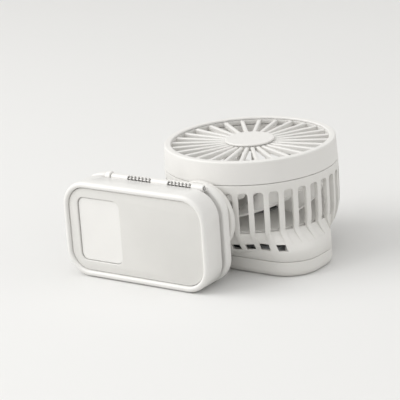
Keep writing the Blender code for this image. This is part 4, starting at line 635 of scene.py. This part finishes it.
def make_bezel():
    low, low_radius = BEZEL_LOW, DRUM_R - DRAFT * SEAT / BEZEL_HIGH
    outer = arc(DRUM_R - DRAFT - RIM_ROUND, RIM_TOP - RIM_ROUND, RIM_ROUND, RIM_ROUND, 0, 90, 10)
    inner = arc(OPENING_R + LIP_ROUND, RIM_TOP - LIP_ROUND, LIP_ROUND, LIP_ROUND, 90, 180, 8)
    lip, skirt, ledge = RIM_TOP - LIP_HIGH, SKIRT_R + SEAT, low + FLANGE_HIGH + SEAT
    profile = [(FLANGE_R, low), (low_radius - CHAMFER, low), (low_radius, low + CHAMFER)]
    profile += outer + inner + [(OPENING_R, lip), (skirt, lip), (skirt, ledge), (FLANGE_R, ledge)]
    bezel = add("bezel_ring", shape(turned(profile, 216)))
    dress(bezel, "fan_body", bezel_white, "white_gloss", "front_bezel")


def make_duct_ring():
    low, foot, step = BEZEL_LOW, BEZEL_LOW - TUCK_DEEP, BEZEL_LOW + FLANGE_HIGH
    top = GRILLE_TOP - BAR_HIGH - SEAT
    tuck, flange = DRUM_R - WALL - SEAT, FLANGE_R - SEAT
    profile = [(OPENING_R, foot), (tuck, foot), (tuck, low), (flange, low), (flange, step),
               (SKIRT_R, step), (SKIRT_R, top), (OPENING_R, top)]
    ring = soften(add("duct_wall", shape(turned(profile, 168))), 0.12)
    dress(ring, "fan_body", bezel_white, "white_plastic", "duct_ring")


def make_grille():
    low = GRILLE_TOP - BAR_HIGH
    rim = soften(add("rim", shape(tube(SKIRT_R, OPENING_R, low, GRILLE_TOP, 168))), 0.15)
    crown = arc(BAR_HALF - BAR_ROUND, GRILLE_TOP - BAR_ROUND, BAR_ROUND, BAR_ROUND, 0, 90, 4)
    outline = [(-BAR_HALF + BAR_DRAFT, low), (BAR_HALF - BAR_DRAFT, low)] + crown
    outline += [(-u, z) for u, z in reversed(crown)]
    angles = [radians(-90 + 360 * i / BARS) for i in range(BARS)]
    bars = add("bars", shape(*[radial_prism(angle, BAR_START, BAR_END, outline) for angle in angles]))
    hub = soften(add("hub", shape(tube(HUB_R, HUB_BORE, low, GRILLE_TOP, 96))), 0.2)
    dress(join("grille_guard", rim, bars, hub), "fan_body", bezel_white, "white_plastic", "front_grille")


def make_hub_cap():
    """The cap over the guard's hub, dished a little and with a peg below."""
    low, top, foot = GRILLE_TOP + SEAT, GRILLE_TOP + SEAT + CAP_HIGH, GRILLE_TOP - PEG_LONG
    rim = arc(CAP_R - CAP_ROUND, top - CAP_ROUND, CAP_ROUND, CAP_ROUND, 0, 90, 8)
    profile = [(0, foot), (PEG_R, foot), (PEG_R, low), (CAP_R - 0.2, low), (CAP_R, low + 0.2)] + rim + [
        (9.9, top - 0.02), (6.0, top - 0.08), (0, top - CAP_DISH)]
    cap = add("hub_cap", shape(turned(profile, 128)))
    dress(cap, "fan_body", bezel_white, "white_gloss", "grille_hub_cap")


# Impeller

BLADES, BLADE_ROOT, BLADE_TIP, BLADE_LOW, BLADE_RISE = 7, 11.9, 33.5, 25.8, 10.0
BLADE_START, BLADE_SWEEP = -76, 64.0  # degrees
BLADE_HALF, BLADE_THIN = 0.62, 0.22  # half the thickness, and the edges' share of it
CUP_R, CUP_WALL, CUP_LOW, CUP_TOP, CUP_ROUND = 12.5, 1.3, 23.6, 37.2, 1.3
FLOOR_LOW, FLOOR_TOP, FLOOR_R = 19.6, 21.0, 37.0
LEAD_HOLES = [(0, -6.2, 0.9), (0, 35.44, 0.9)]
FLOOR_POST_R, FLOOR_POST_BORE, FLOOR_POST_LOW = 2.5, 1.1, 14.0
bracket_spots = around(3, 8.6, 90)


def blade(start_angle):
    """A blade that rises anticlockwise, with thin edges."""
    chord, span = 26, 10

    def build(bm):
        grids = []
        for sign in (1, -1):
            grid = []
            for k in range(span + 1):
                radius = BLADE_ROOT + (BLADE_TIP - BLADE_ROOT) * k / span
                row = []
                for i in range(chord + 1):
                    s = i / chord
                    angle = radians(start_angle + BLADE_SWEEP * s)
                    half = BLADE_HALF * (BLADE_THIN + (1 - BLADE_THIN) * sin(pi * s) ** 0.6)
                    z = BLADE_LOW + BLADE_RISE * s + sign * half
                    row.append(bm.verts.new((radius * cos(angle), radius * sin(angle), z)))
                grid.append(row)
            grids.append(grid)
        top, low = grids
        for grid in grids:
            for k in range(span):
                for i in range(chord):
                    bm.faces.new((grid[k][i], grid[k + 1][i], grid[k + 1][i + 1], grid[k][i + 1]))
        for k in (0, span):
            for i in range(chord):
                bm.faces.new((top[k][i], top[k][i + 1], low[k][i + 1], low[k][i]))
        for i in (0, chord):
            for k in range(span):
                bm.faces.new((top[k][i], top[k + 1][i], low[k + 1][i], low[k][i]))
    return build


def make_impeller():
    blades = add("blades", shape(*[blade(BLADE_START + 360 * i / BLADES) for i in range(BLADES)]))
    crown = arc(CUP_R - CUP_ROUND, CUP_TOP - CUP_ROUND, CUP_ROUND, CUP_ROUND, 0, 90, 8)
    inside, roof = CUP_R - CUP_WALL, CUP_TOP - CUP_WALL
    cup = [(0, roof), (inside, roof), (inside, CUP_LOW), (CUP_R - 0.2, CUP_LOW), (CUP_R, CUP_LOW + 0.2)]
    cup += crown + [(6.0, CUP_TOP), (5.6, CUP_TOP - 0.3), (0, CUP_TOP - 0.3)]
    hub = add("rotor_cup", shape(turned(cup, 96)))
    rotor = join("fan_rotor", soften(blades, 0.12), hub)
    dress(rotor, "rotor", blade_white, "blade_plastic", "impeller")


def make_floor_disc():
    """The fan chamber's floor, with holes for the bracket's screws and two leads."""
    holes = [(x, y, FLOOR_POST_BORE) for x, y in bracket_spots] + LEAD_HOLES
    profile = [(0, FLOOR_LOW), (FLOOR_R - SEAT, FLOOR_LOW), (FLOOR_R, FLOOR_TOP), (0, FLOOR_TOP)]
    disc = add("floor_disc", shape(turned(profile, 144)))
    boolean(disc, shape(*[rod(r, FLOOR_LOW - OVER, FLOOR_TOP + OVER, 24, (x, y, 0)) for x, y, r in holes]))
    boolean(disc, shape(rod(SWIVEL_BOSS_R + SEAT, -DRUM_R, -BOSS_BACK + SEAT, 48, SWIVEL, "Y")))
    posts = [tube(FLOOR_POST_R, FLOOR_POST_BORE, FLOOR_POST_LOW, FLOOR_LOW + 0.1, 24, (x, y, 0))
             for x, y in bracket_spots]
    disc = join("chamber_floor", disc, add("posts", shape(*posts)))
    dress(disc, "fan_body", body_white, "white_plastic", "air_guide")


# Swivel and clip

DISC_BACK, DISC_FRONT, DISC_R, DISC_ROUND = -40.6, -43.7, 17.0, 0.8
PLATE_BACK, PLATE_FRONT, PLATE_ROUND = -44.0, -48.7, 1.2
JAW_BACK, JAW_FRONT, JAW_WALL = -52.0, -63.6, 1.8
CLIP_X, CLIP_Z = -23.0, 22.75
CLIP_HALF_X, CLIP_HALF_Z, CLIP_CORNER = 39.2, 22.45, 12.4
BEAD, BEAD_ROUND, SEAT_DEEP = 2.7, 1.65, 2.7
PANEL_THICK, INSERT_THICK = 1.2, 0.5
WINDOW_HALF_X, WINDOW_HALF_Z, WINDOW_CORNER = 11.6, 15.0, 3.5
WINDOW_X = CLIP_X - CLIP_HALF_X + 7.8 + WINDOW_HALF_X
COVER_BACK = JAW_BACK - 0.15
HINGE_Y, HINGE_Z, PIN_R, BARREL_R, BARREL_BORE, WEB = -50.35, 45.2, 0.7, 1.5, 1.0, 1.5
REAR_KNUCKLES = ((-42.2, -32.9), (1.7, 8.0))
JAW_KNUCKLE = (-20.1, -10.9)
KNOB_R, KNOB_START, KNOB_END = 2.3, -45.5, -42.5
SPRING_SPANS = ((-32.2, -20.8), (-10.2, 1.0))
WIRE, COIL, LEG, HOOK, HOOK_BORE = 0.25, 1.22, 9.0, 1.4, 0.5
LAND_LOW, LAND_TOP, LAND_RISE, LAND_HALF = 13.8, 31.8, 0.3, 28.0
GRIP_LOW, GRIP_HIGH, GRIP_HALF, GRIP_THICK, RIDGES, RIDGE_HIGH = 4.3, 7.0, 26, 0.8, 5, 0.4
SCREW_R, SCREW_BORE, HEAD_R = 0.9, 1.2, 1.7
disc_spots = around(3, 12.8, 90)
jaw_spots = [(CLIP_X + sx * 30.7, CLIP_Z + sz * 13.95) for sx in (-1, 1) for sz in (-1, 1)]


def clip_ring(inset, y):
    outline = rounded_outline(CLIP_HALF_X, CLIP_HALF_Z, CLIP_CORNER, inset, 18)
    return [(CLIP_X + x, y, CLIP_Z + z) for x, z in outline]


def on_hinge(profile, segments=40):
    return turned(profile, segments, (0, HINGE_Y, HINGE_Z), "X")


def knuckle(start, end):
    bore, low, high = BARREL_BORE, BARREL_R - CHAMFER, BARREL_R
    return on_hinge([(bore, start), (low, start), (high, start + CHAMFER), (high, end - CHAMFER),
                     (low, end), (bore, end)])


def cut_knob_room(target):
    start, end = KNOB_START - 0.45, KNOB_END + 0.15
    boolean(target, shape(on_hinge([(0, start), (KNOB_R + SEAT, start), (KNOB_R + SEAT, end), (0, end)])))


def screw_hole(start, step, end):
    """A hole along Y, narrow for the shank and past the step wide for the head."""
    wide = HEAD_R + SEAT
    return [(0, start), (SCREW_BORE, start), (SCREW_BORE, step), (wide, step), (wide, end), (0, end)]


def make_swivel_disc():
    edge = arc(DISC_R - DISC_ROUND, DISC_BACK - DISC_ROUND, DISC_ROUND, DISC_ROUND, 90, 0, 8)
    room = SWIVEL_BOSS_R + 2 * SEAT
    profile = [(SWIVEL_BORE, DISC_FRONT), (SWIVEL_BORE, DISC_FRONT + 1.3), (room, DISC_FRONT + 1.3),
               (room, DISC_BACK - 0.2), (room + 0.2, DISC_BACK)]
    profile += edge + [(DISC_R, DISC_FRONT + 0.2), (DISC_R - 0.2, DISC_FRONT)]
    disc = add("disc", shape(turned(profile, 144, SWIVEL, "Y")))
    hole = screw_hole(DISC_FRONT - OVER, DISC_BACK - 1.5, DISC_BACK + OVER)
    boolean(disc, shape(*[turned(hole, 32, (x, 0, SWIVEL_Z + z), "Y") for x, z in disc_spots]))
    dress(disc, "clip", body_white, "white_plastic", "swivel_disc")


def make_rear_plate():
    edge = PLATE_ROUND
    rings = [clip_ring(edge - reach, y) for reach, y in arc(0, PLATE_FRONT + edge, edge, edge, -90, 0, 8)]
    rings += [clip_ring(edge - reach, y) for reach, y in arc(0, PLATE_BACK - edge, edge, edge, 0, 90, 8)]
    plate = add("plate", shape(loft(rings)))
    for start, end in REAR_KNUCKLES:
        web = block((start, HINGE_Y, HINGE_Z - WEB), (end, PLATE_FRONT + edge, HINGE_Z - SEAT))
        boolean(plate, shape(web), "UNION")
    cut_knob_room(plate)
    deep = HINGE_Y + COIL + HOOK + 0.28
    hooks = [rod(HOOK_BORE, PLATE_FRONT - OVER, deep, 16, (low + WIRE, 0, HINGE_Z - LEG), "Y")
             for low, _ in SPRING_SPANS]
    boolean(plate, shape(*hooks))
    soften(plate, 0.15)
    knuckles = add("knuckles", shape(*[knuckle(*span) for span in REAR_KNUCKLES]))
    middle, half = (LAND_LOW + LAND_TOP) / 2, (LAND_TOP - LAND_LOW) / 2
    face = PLATE_FRONT - LAND_RISE
    land = add("land", shape(loft([
        [(CLIP_X + x, y, middle + z) for x, z in rounded_outline(LAND_HALF, half, 1.0, inset, 6)]
        for inset, y in ((0, PLATE_FRONT + 0.5), (0, face + 0.1), (0.1, face))])))
    dress(join("rear_plate", plate, knuckles, land), "clip", clip_white, "white_plastic", "clip_rear_plate")


def make_jaw_shell():
    """The jaw's open box, whose walls end in a bead round the panel's seat."""
    seat = JAW_FRONT + SEAT_DEEP
    floor, inner = seat + 1.5, BEAD - BEAD_ROUND
    rings = [clip_ring(inset, y) for inset, y in (
        (JAW_WALL, floor), (JAW_WALL, JAW_BACK - 0.1), (JAW_WALL - 0.1, JAW_BACK),
        (0.25, JAW_BACK), (0.0, JAW_BACK - 0.25))]
    bead = arc(0, JAW_FRONT + BEAD_ROUND, BEAD_ROUND, BEAD_ROUND, 0, -90, 12)
    rings += [clip_ring(BEAD_ROUND - reach, y) for reach, y in bead]
    rings += [clip_ring(reach, y) for reach, y in arc(BEAD_ROUND, JAW_FRONT + inner, inner, inner, -90, 0, 8)]
    rings.append(clip_ring(BEAD, seat))
    shell = add("shell", shape(loft(rings)))
    start, end = JAW_KNUCKLE
    web = block((start, JAW_BACK - 1.6, HINGE_Z - WEB), (end, HINGE_Y, HINGE_Z - SEAT))
    boolean(shell, shape(web), "UNION")
    cut_knob_room(shell)
    soften(shell, 0.12)
    posts = [tube(2.4, SCREW_BORE, floor - 0.7, JAW_BACK - 1.7, 32, (x, 0, z), "Y") for x, z in jaw_spots]
    inside = add("inside", shape(knuckle(start, end), *posts))
    dress(join("jaw_frame", shell, inside), "jaw", clip_white, "white_gloss", "jaw_shell")


def make_jaw_cover():
    side, face = JAW_WALL + SEAT, COVER_BACK
    cover = add("cover", shape(loft([clip_ring(side, JAW_BACK - 1.4), clip_ring(side, face - 0.3),
                                     clip_ring(side + 0.1, face - 0.08), clip_ring(side + 0.3, face)])))
    hole = screw_hole(JAW_BACK - 2.4, JAW_BACK - 1.1, JAW_BACK + OVER)
    boolean(cover, shape(*[turned(hole, 32, (x, 0, z), "Y") for x, z in jaw_spots]))
    hooks = [rod(HOOK_BORE, JAW_BACK - 3, JAW_BACK + OVER, 16, (high - WIRE, 0, HINGE_Z - LEG), "Y")
             for _, high in SPRING_SPANS]
    boolean(cover, shape(*hooks))
    dress(cover, "jaw", clip_white, "white_plastic", "jaw_back_cover")


def window_ring(inset, y):
    outline = rounded_outline(WINDOW_HALF_X, WINDOW_HALF_Z, WINDOW_CORNER, inset, 10)
    return [(WINDOW_X + x, y, CLIP_Z + z) for x, z in outline]


def make_face_panel():
    back, side = JAW_FRONT + SEAT_DEEP - SEAT, BEAD + SEAT
    face = back - PANEL_THICK
    panel = add("panel", shape(loft([clip_ring(side, back), clip_ring(side, face + 0.3),
                                     clip_ring(side + 0.06, face + 0.12), clip_ring(side + 0.3, face)])))
    boolean(panel, shape(loft([window_ring(-0.25, face - OVER), window_ring(-0.25, face),
                               window_ring(0, face + 0.22), window_ring(0, back + OVER)])))
    dress(panel, "jaw", panel_grey, "panel_grey", "face_panel")
    front = back - INSERT_THICK
    insert = add("insert", shape(loft([window_ring(SEAT, back), window_ring(SEAT, front + 0.08),
                                       window_ring(SEAT + 0.08, front)])))
    dress(insert, "jaw", insert_white, "pale_insert", "window_plate")


def make_hinge_pin():
    """The pin's round knob is moulded on its steel rod."""
    dome = [(r, x) for x, r in arc(KNOB_START + 1.1, 1.2, 1.1, 1.1, 180, 90, 8)]
    knob = [(0, KNOB_START), (0.9, KNOB_START)] + dome[1:] + [
        (KNOB_R, KNOB_END - CHAMFER), (KNOB_R - CHAMFER, KNOB_END), (0, KNOB_END)]
    dress(add("hinge_knob", shape(on_hinge(knob, 48))), "clip", clip_white, "white_plastic")
    start, end = KNOB_END - 0.1, REAR_KNUCKLES[1][1] + SEAT
    shaft = [(0, start), (PIN_R, start), (PIN_R, end - 0.2), (PIN_R - 0.2, end), (0, end)]
    dress(add("hinge_rod", shape(on_hinge(shaft, 32))), "clip", spring_steel, "steel", "hinge_pin")


def make_springs():
    """Torsion springs: hook, leg, turns round the pin, leg and hook."""
    bend, per_turn = 3 * WIRE, 32
    count = 5 * per_turn + per_turn // 2
    rear_y, jaw_y, low_z = HINGE_Y + COIL, HINGE_Y - COIL, HINGE_Z - LEG
    for side, (low, high) in zip(("left", "right"), SPRING_SPANS):
        start, end = low + WIRE, high - WIRE
        points = [(start, rear_y + HOOK, low_z)]
        points += [(start, y, z) for y, z in arc(rear_y + bend, low_z + bend, bend, bend, 270, 180, 8)]
        for i in range(count + 1):
            angle = 2 * pi * i / per_turn
            points.append((start + (end - start) * i / count, HINGE_Y + COIL * cos(angle),
                           HINGE_Z + COIL * sin(angle)))
        points += [(end, y, z) for y, z in arc(jaw_y - bend, low_z + bend, bend, bend, 0, -90, 8)]
        points.append((end, jaw_y - HOOK, low_z))
        curve = bpy.data.curves.new(f"torsion_spring_{side}", "CURVE")
        curve.dimensions = "3D"
        curve.bevel_depth = WIRE * MM
        curve.bevel_resolution = 3
        curve.use_fill_caps = True
        spline = curve.splines.new("POLY")
        spline.points.add(len(points) - 1)
        for point, place in zip(spline.points, points):
            point.co = (*[c * MM for c in place], 1.0)
        dress(put(f"torsion_spring_{side}", curve), "clip", spring_steel, "steel", f"clip_spring_{side}")


def make_grips():
    """The ridged pads at the clip's mouth."""
    pitch, steps = GRIP_HIGH / RIDGES, 12
    for name, body, node, seat, outward in (("rear_grip", "clip", "rear_grip_pad", PLATE_FRONT - SEAT, -1),
                                            ("front_grip", "jaw", "front_grip_pad", COVER_BACK + SEAT, 1)):
        outline = [(seat, GRIP_LOW)]
        for i in range(RIDGES):
            for t in range(steps + 1):
                ridge = GRIP_THICK + RIDGE_HIGH * sin(pi * t / steps) ** 0.7
                outline.append((seat + outward * ridge, GRIP_LOW + pitch * (i + 0.02 + 0.96 * t / steps)))
        outline.append((seat, GRIP_LOW + GRIP_HIGH))
        rings = [[(CLIP_X + x, y, z) for y, z in outline] for x in (-GRIP_HALF, GRIP_HALF)]
        dress(add(name, shape(loft(rings)), 50), body, grip_rubber, "grip_rubber", node)


THREAD_PITCH, THREAD_START, THREAD_CORE = 0.45, 0.3, 0.8
HEAD_DOME, CROSS_WIDE, CROSS_LONG, CROSS_DEEP = 0.55, 0.13, 0.62, 0.6


def make_screw(name, body, node, head, head_height, shank, length, centre, along, turn):
    """A pan-head screw with a cross recess and a threaded shank."""
    dome = arc(0, -turn * head_height * (1 - HEAD_DOME), head, head_height * HEAD_DOME, 90, 0, 6)
    profile = [(r if i else 0.0, -turn * abs(h)) for i, (r, h) in enumerate(dome)]
    core, at = shank * THREAD_CORE, THREAD_START
    profile += [(head, 0), (core, 0)]
    while at + THREAD_PITCH < length - 0.6:
        profile += [(core, turn * at), (shank, turn * (at + THREAD_PITCH / 2))]
        at += THREAD_PITCH
    profile += [(core, turn * at), (0, turn * length)]
    made = add(name, shape(turned(profile, 28, centre, along)))
    wide, reach = head * CROSS_WIDE, head * CROSS_LONG
    ends = sorted((-turn * (head_height + 0.5), -turn * head_height * (1 - CROSS_DEEP)))
    for u, v in ((reach, wide), (wide, reach)):
        bar = [(-u, ends[0], -v), (u, ends[1], v)] if along == "Y" else [(-u, -v, ends[0]), (u, v, ends[1])]
        boolean(made, shape(block(*[[c + d for c, d in zip(centre, corner)] for corner in bar])))
    dress(made, body, steel, "steel", node)


def make_screws():
    for i, (x, y) in enumerate(case_spots, 1):
        make_screw(f"base_screw_{i}", "fan_body", f"case_screw_{i}", 1.9, SCREW_HEAD, 1.0, SCREW_LONG,
                   (x, y, SCREW_SINK + SCREW_HEAD), "Z", 1)
    for i, (x, z) in enumerate(disc_spots, 1):
        make_screw(f"swivel_screw_{i}", "clip", f"disc_screw_{i}", HEAD_R, 0.9, SCREW_R, 4.2,
                   (x, DISC_BACK - 1.2, SWIVEL_Z + z), "Y", -1)
    for i, (x, z) in enumerate(jaw_spots, 1):
        make_screw(f"cover_screw_{i}", "jaw", f"jaw_screw_{i}", HEAD_R, 0.8, SCREW_R, 4.8,
                   (x, JAW_BACK - 0.95, z), "Y", -1)


def make_button():
    """The round button, dished a little, with the flange that holds it in."""
    face, shoulder = BOSS_FACE + BUTTON_PROUD, BUTTON_STEP - SEAT
    back = shoulder - FLANGE_THICK
    rim = arc(BUTTON_R - BUTTON_ROUND, face - BUTTON_ROUND, BUTTON_ROUND, BUTTON_ROUND, 0, 90, 6)
    profile = [(0, back), (FLANGE_OUT, back), (FLANGE_OUT, shoulder), (BUTTON_R, shoulder)] + rim + [
        (3.2, face - 0.02), (1.8, face - 0.16), (0, face - 0.22)]
    button = add("push_button", shape(turned(profile, 72, BUTTON, "Y")))
    dress(button, "button", bezel_white, "white_gloss", "power_button")


def make_socket():
    start = -BASE_X + SOCKET_SINK
    end = start + SOCKET_LONG

    def ring(inset, x, half_y=SOCKET_HALF_Y, half_z=SOCKET_HALF_Z):
        outline = rounded_outline(half_y, half_z, half_z, inset, 10)
        return [(x, BASE_Y + y, SOCKET_Z + z) for y, z in outline]

    shell = add("socket_shell", shape(loft([
        ring(0, end), ring(0, start + 0.1), ring(0.1, start), ring(0.4, start), ring(0.4, end - 0.8)])))
    dress(shell, "fan_body", steel, "steel", "charging_socket")
    tongue = add("socket_tongue", shape(loft([
        ring(0, x, TONGUE_HALF_Y, TONGUE_HALF_Z) for x in (end - TONGUE_IN, start + TONGUE_IN)])))
    dress(tongue, "fan_body", black_plastic, "black_plastic")


def dress_cad(material, *names):
    """Gives CAD pieces that are shown as they are their material."""
    for name in names:
        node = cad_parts[name]
        node.data.materials.clear()
        node.data.materials.append(material)


# Stage, light and camera. Lengths are in metres here.

FLOOR_SEEN = (0.812, 0.812, 0.807), (0.83, 0.83, 0.825)
FLOOR_BOUNCE = (0.66, 0.655, 0.64)
FLOOR_WIDE, FLOOR_FRONT, FLOOR_BACK, SWEEP_R, BACKDROP_TOP, SWEEP_STEPS = 3.0, -2.5, 1.2, 0.8, 3.0, 16
PHOTO_AZIMUTH = 33.8
WARM = (1.0, 0.992, 0.98)
SKY, SKY_SIDE, SKY_DIM, SKY_BRIGHT = (0.97, 0.965, 0.95), (-0.80, 0.10, 0.59), 0.48, 1.06


def stage_material():
    """Pale paper that is lighter to the camera than in the light that it gives back."""
    made, nodes, links, shader, place = new_material("stage_paper")
    fill(shader, Roughness=0.9, Specular_IOR_Level=0.15)
    tint = ramp(nodes, links, noise(nodes, links, place, 3, 2), *FLOOR_SEEN)
    path = nodes.new("ShaderNodeLightPath")
    seen = path.outputs["Is Camera Ray"]
    for ray in ("Is Glossy Ray", "Is Transmission Ray"):
        either = nodes.new("ShaderNodeMath")
        either.operation = "MAXIMUM"
        links.new(seen, either.inputs[0])
        links.new(path.outputs[ray], either.inputs[1])
        seen = either.outputs["Value"]
    pick = nodes.new("ShaderNodeMixRGB")
    fill(pick, Color1=(*FLOOR_BOUNCE, 1))
    links.new(seen, pick.inputs["Fac"])
    links.new(tint, pick.inputs["Color2"])
    links.new(pick.outputs["Color"], shader.inputs["Base Color"])
    return made


def make_stage():
    """A floor that sweeps up into a backdrop, square to the photo's camera."""
    bend = arc(FLOOR_BACK, SWEEP_R, SWEEP_R, SWEEP_R, -90, 0, SWEEP_STEPS)
    profile = [(FLOOR_FRONT, 0.0)] + bend + [(FLOOR_BACK + SWEEP_R, BACKDROP_TOP)]
    turn = Matrix.Rotation(radians(PHOTO_AZIMUTH), 4, "Z")
    bm = bmesh.new()
    rows = [[bm.verts.new(turn @ Vector((x, y, z))) for y, z in profile] for x in (-FLOOR_WIDE, FLOOR_WIDE)]
    for k in range(len(profile) - 1):
        bm.faces.new((rows[0][k], rows[1][k], rows[1][k + 1], rows[0][k + 1]))
    floor = add("stage_sweep", bm, 60, 1.0)
    floor.data.materials.append(stage_material())


def area_light(name, place, size, power):
    light = bpy.data.lights.new(name, "AREA")
    light.shape = "RECTANGLE"
    light.size = light.size_y = size
    light.energy = power
    light.color = WARM
    made = put(name, light)
    made.location = place
    made.rotation_euler = (Vector((0, -0.02, 0.02)) - Vector(place)).to_track_quat("-Z", "Y").to_euler()


def make_light():
    """A sky that is brightest on one side, a key light from there and a weak fill."""
    world = bpy.data.worlds.new("studio")
    bpy.context.scene.world = world
    world.use_nodes = True
    nodes, links = world.node_tree.nodes, world.node_tree.links
    side = nodes.new("ShaderNodeVectorMath")
    side.operation = "DOT_PRODUCT"
    side.inputs[1].default_value = Vector(SKY_SIDE).normalized()
    links.new(nodes.new("ShaderNodeTexCoord").outputs["Generated"], side.inputs[0])
    back = nodes["Background"]
    fill(back, Color=(*SKY, 1))
    share = vary(nodes, links, side.outputs["Value"], SKY_DIM, SKY_BRIGHT, back.inputs["Strength"])
    fill(share, From_Min=-1.0)
    area_light("key_soft", (-0.80, -0.70, 0.85), 1.0, 8.8)
    area_light("fill_right", (1.30, 0.35, 0.70), 0.8, 2.0)


def make_camera():
    """The photo's camera, fitted to the drum's rims, the slots, the base and the clip."""
    data = bpy.data.cameras.new("photo_camera")
    data.lens, data.sensor_width = 180.0, 36.0
    data.clip_start, data.clip_end = 0.05, 20
    camera = put("photo_camera", data)
    right, up = Vector((0.82519, 0.56072, -0.06825)), Vector((-0.11338, 0.28279, 0.95246))
    back = Vector((0.55336, -0.77822, 0.29693))
    turn = Matrix((right, up, back)).transposed().to_4x4()
    camera.matrix_world = Matrix.Translation((0.4928, -0.7359, 0.3012)) @ turn
    bpy.context.scene.camera = camera


for make in (make_camera, make_housing, make_base_cover, make_bezel, make_duct_ring, make_grille,
             make_hub_cap, make_impeller, make_floor_disc, make_swivel_disc, make_rear_plate,
             make_jaw_shell, make_jaw_cover, make_face_panel, make_hinge_pin, make_springs,
             make_grips, make_screws, make_button, make_socket, make_stage, make_light):
    make()

dress_cad(grey_plastic, "motor_bracket", "motor_lead", "switch_lead", "battery_lead", "button_board")
dress_cad(copper, "stator")
dress_cad(bronze, "sleeve_bearing")
dress_cad(foam, "battery_pad")
dress_cad(foil, "battery_cell")
dress_cad(board_green, "control_board")
dress_cad(black_plastic, "button_switch")
dress_cad(steel, "rotor_shaft", "shaft_retainer", "swivel_axle", "swivel_nut", "friction_washer",
          "bracket_screw_1", "bracket_screw_2", "bracket_screw_3")
dress_cad(magnet_black, "rotor_magnet")

bpy.context.scene.view_settings.view_transform = "Standard"
